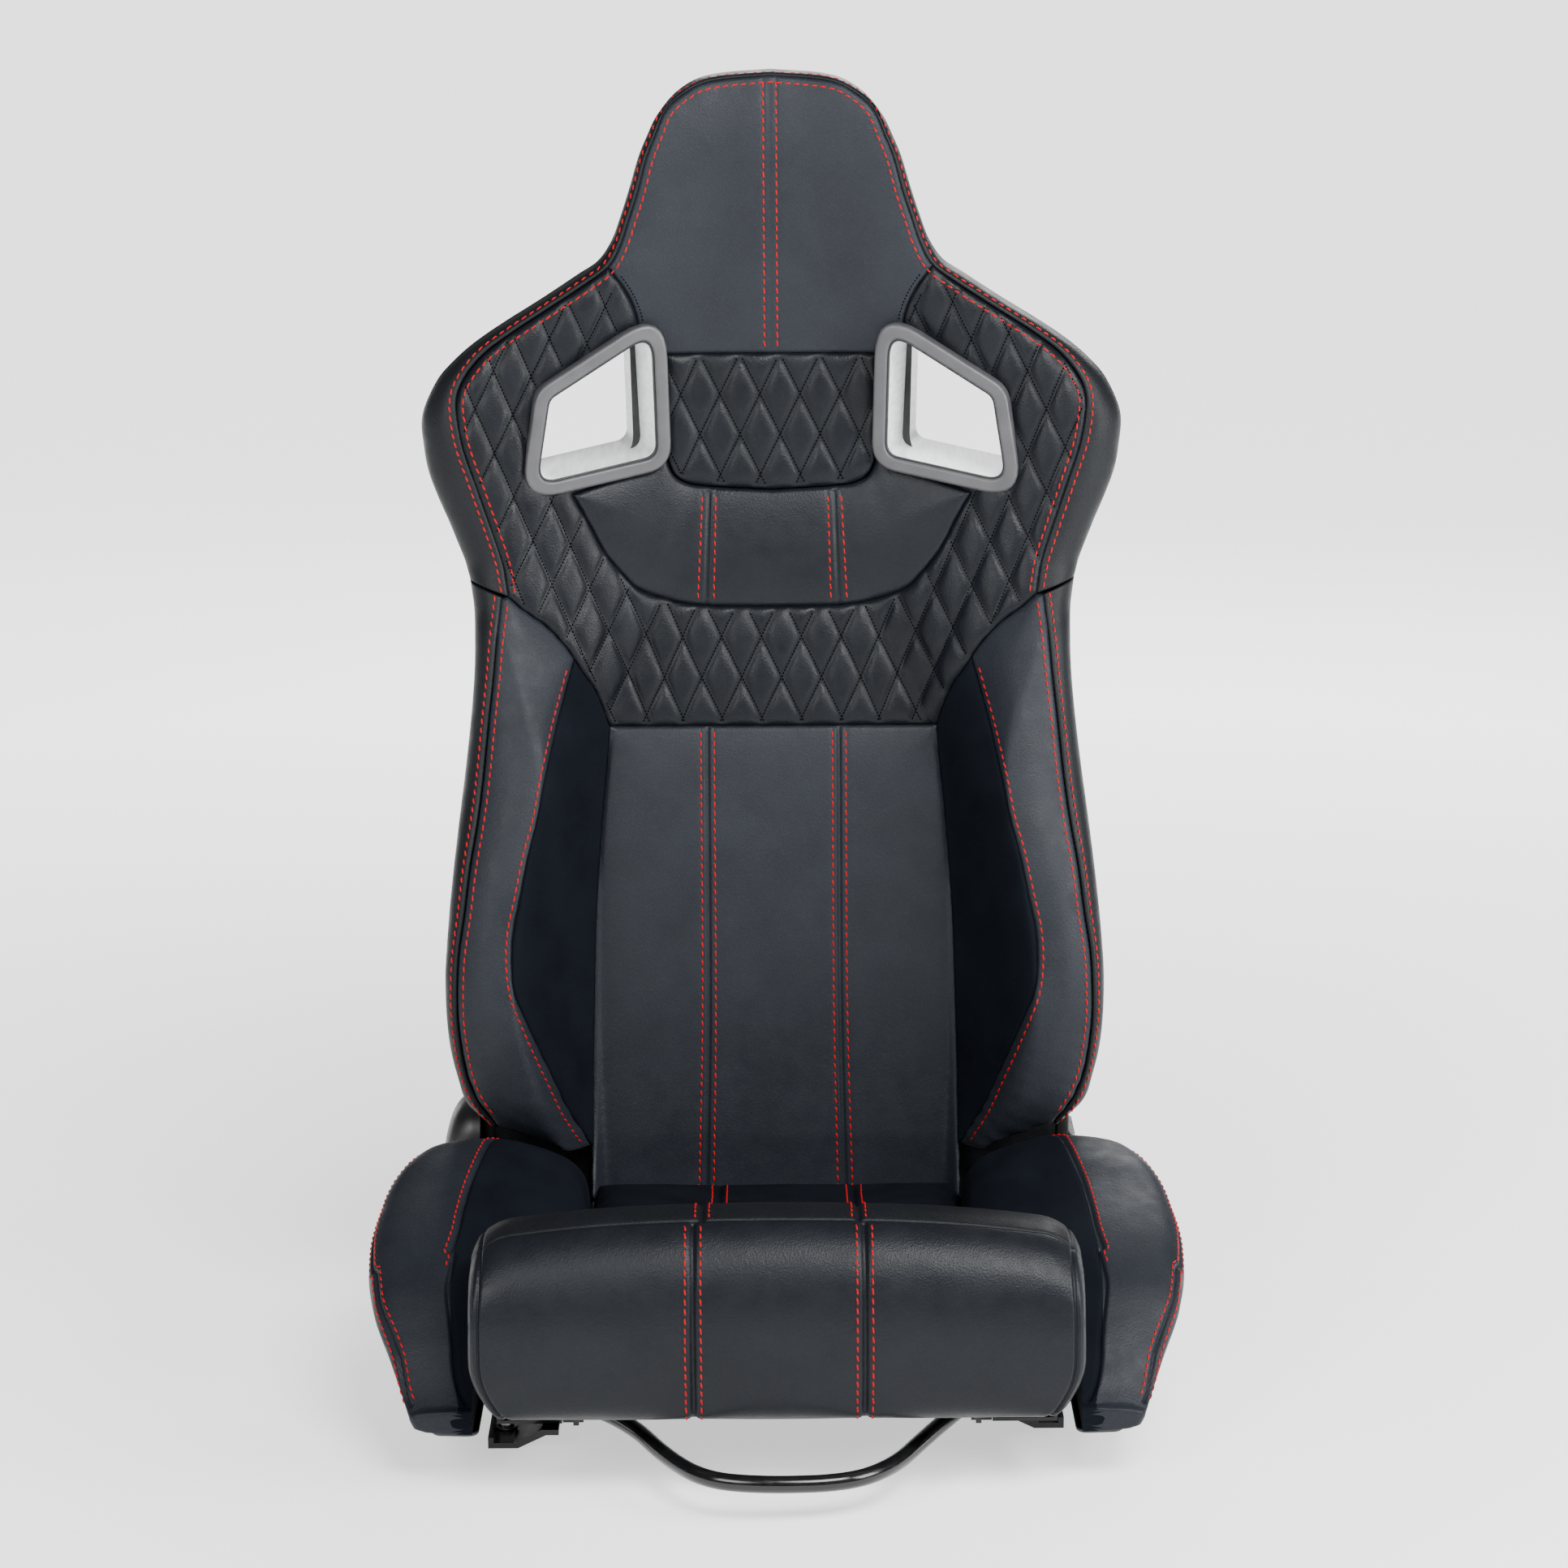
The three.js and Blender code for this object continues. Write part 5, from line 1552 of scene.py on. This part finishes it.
def make_fasteners():
    shell_screws = []
    for s in (1, -1):
        for x, z in ((68, 880), (100, 800), (226, 640), (204, 520), (210, 420), (222, 320), (170, 160)):
            y = float(shell_rear(x, z)) - 1.0
            shell_screws += screw((s * x, y, z), (0, 1, 0), 4.2, 2.6)
    outward(build("shell_screws", *merge(shell_screws), BLACK_METAL, "back", "black_metal", sharp=40))
    arm_bolts, bracket_bolts, foot_bolts = [], [], []
    for s in (1, -1):
        for z in (165, 195):
            arm_bolts += screw((s * 221.2, 128 + (z - 165) * 0.2, z), (s, 0, 0), 6.5, 5)
        for y in (103, 153):
            bracket_bolts += screw((s * 226.4, y, 72), (s, 0, 0), 5.5, 4)
        for y in (-92 if s > 0 else -124, 170):
            foot_bolts += screw((s * 193, y + 8, 4.05), (0, 0, 1), 6, 4.5)
    outward(build("recliner_arm_bolts", *merge(arm_bolts), STEEL, "back", "steel", sharp=40))
    outward(build("recliner_bracket_bolts", *merge(bracket_bolts), STEEL, "seat", "steel", sharp=40))
    outward(build("rail_foot_bolts", *merge(foot_bolts), STEEL, "floor_rails", "steel", sharp=40))


make_fasteners()

# ---------------------------------------------------------------- CAD nodes that stay


def finish_cad_nodes():
    """Gives each CAD node that still shows its finish and softened edges."""
    steel = ("release_shaft", "recline_spring")
    plastic = ("roller_cage", "pivot_cap")
    for name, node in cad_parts.items():
        look = STEEL if name.startswith(steel) else PLASTIC if name.startswith(plastic) else BLACK_METAL
        node.data.materials.clear()
        node.data.materials.append(look)
        if not node.hide_render and not name.startswith("recline_spring"):
            soften = node.modifiers.new("Bevel", "BEVEL")
            soften.width = 0.6 * MM
            soften.segments = 2
            soften.limit_method = "ANGLE"
            soften.angle_limit = math.radians(40)


finish_cad_nodes()

# ---------------------------------------------------------------- camera, floor and lights


LENS = 95.4
SENSOR = 36
FRAME_SHIFT = 0.0067
CAMERA_PLACE = (0, -2.895, 1.1138)
CAMERA_PITCH = 13
CAMERA_ROLL = -0.35
LAMPS = [      # name, place, target, size, watts
    ("key", (0.8, -1.7, 2.35), (0, 0.1, 0.7), (1.4, 1.0), 118),
    ("fill", (-1.35, -2.0, 1.75), (0, 0.1, 0.6), (1.4, 1.1), 56),
    ("side", (1.9, -0.9, 1.2), (0.2, -0.05, 0.2), (1.0, 1.0), 60),
    ("rear", (0.6, 2.8, 2.0), (0, 0, 0.5), (2.0, 1.6), 70),
]


def make_camera():
    camera = bpy.data.objects.new("camera", bpy.data.cameras.new("camera"))
    bpy.context.scene.collection.objects.link(camera)
    camera.data.lens = LENS
    camera.data.sensor_width = SENSOR
    camera.data.shift_x = FRAME_SHIFT
    tilt = Matrix.Rotation(math.radians(90 - CAMERA_PITCH), 4, "X")
    roll = Matrix.Rotation(math.radians(CAMERA_ROLL), 4, "Z")
    camera.matrix_world = Matrix.Translation(CAMERA_PLACE) @ tilt @ roll
    bpy.context.scene.camera = camera


def make_floor():
    reach = 60
    mesh = bpy.data.meshes.new("floor")
    mesh.from_pydata([(-reach, -reach, 0), (reach, -reach, 0), (reach, reach, 0), (-reach, reach, 0)], [],
                     [(0, 1, 2, 3)])
    floor = bpy.data.objects.new("floor", mesh)
    bpy.context.scene.collection.objects.link(floor)
    finish = new_material("pale_floor", (0.8, 0.8, 0.8), 0.8, specular=0.1)
    n = Nodes(finish)
    # The floor glows white as well as reflecting: the glow is painted light and also lights the seat from
    # below. It is weakest within half a metre of the origin, a painted soft shadow round the seat, and full
    # from 2.4 m out.
    n.shader.inputs["Emission Color"].default_value = (1, 1, 1, 1)
    away = n.add("ShaderNodeVectorMath", operation="LENGTH")
    n.link(n.place, away.inputs[0])
    n.link(n.remap(away.outputs["Value"], 0.5, 2.4, 0.9, 2.3), n.shader.inputs["Emission Strength"])
    floor.data.materials.append(finish)


def soft_light(name, place, target, size, power):
    light = bpy.data.lights.new(name, "AREA")
    light.shape = "RECTANGLE"
    light.size, light.size_y = size
    light.energy = power
    lamp = bpy.data.objects.new(name, light)
    bpy.context.scene.collection.objects.link(lamp)
    lamp.location = place
    lamp.rotation_euler = (Vector(target) - Vector(place)).to_track_quat("-Z", "Y").to_euler()


def make_lights():
    world = bpy.data.worlds.new("studio")
    bpy.context.scene.world = world
    world.use_nodes = True
    world.node_tree.nodes["Background"].inputs["Color"].default_value = (1, 1, 1, 1)
    world.node_tree.nodes["Background"].inputs["Strength"].default_value = 0.12
    for lamp in LAMPS:
        soft_light(*lamp)


make_camera()
make_floor()
make_lights()
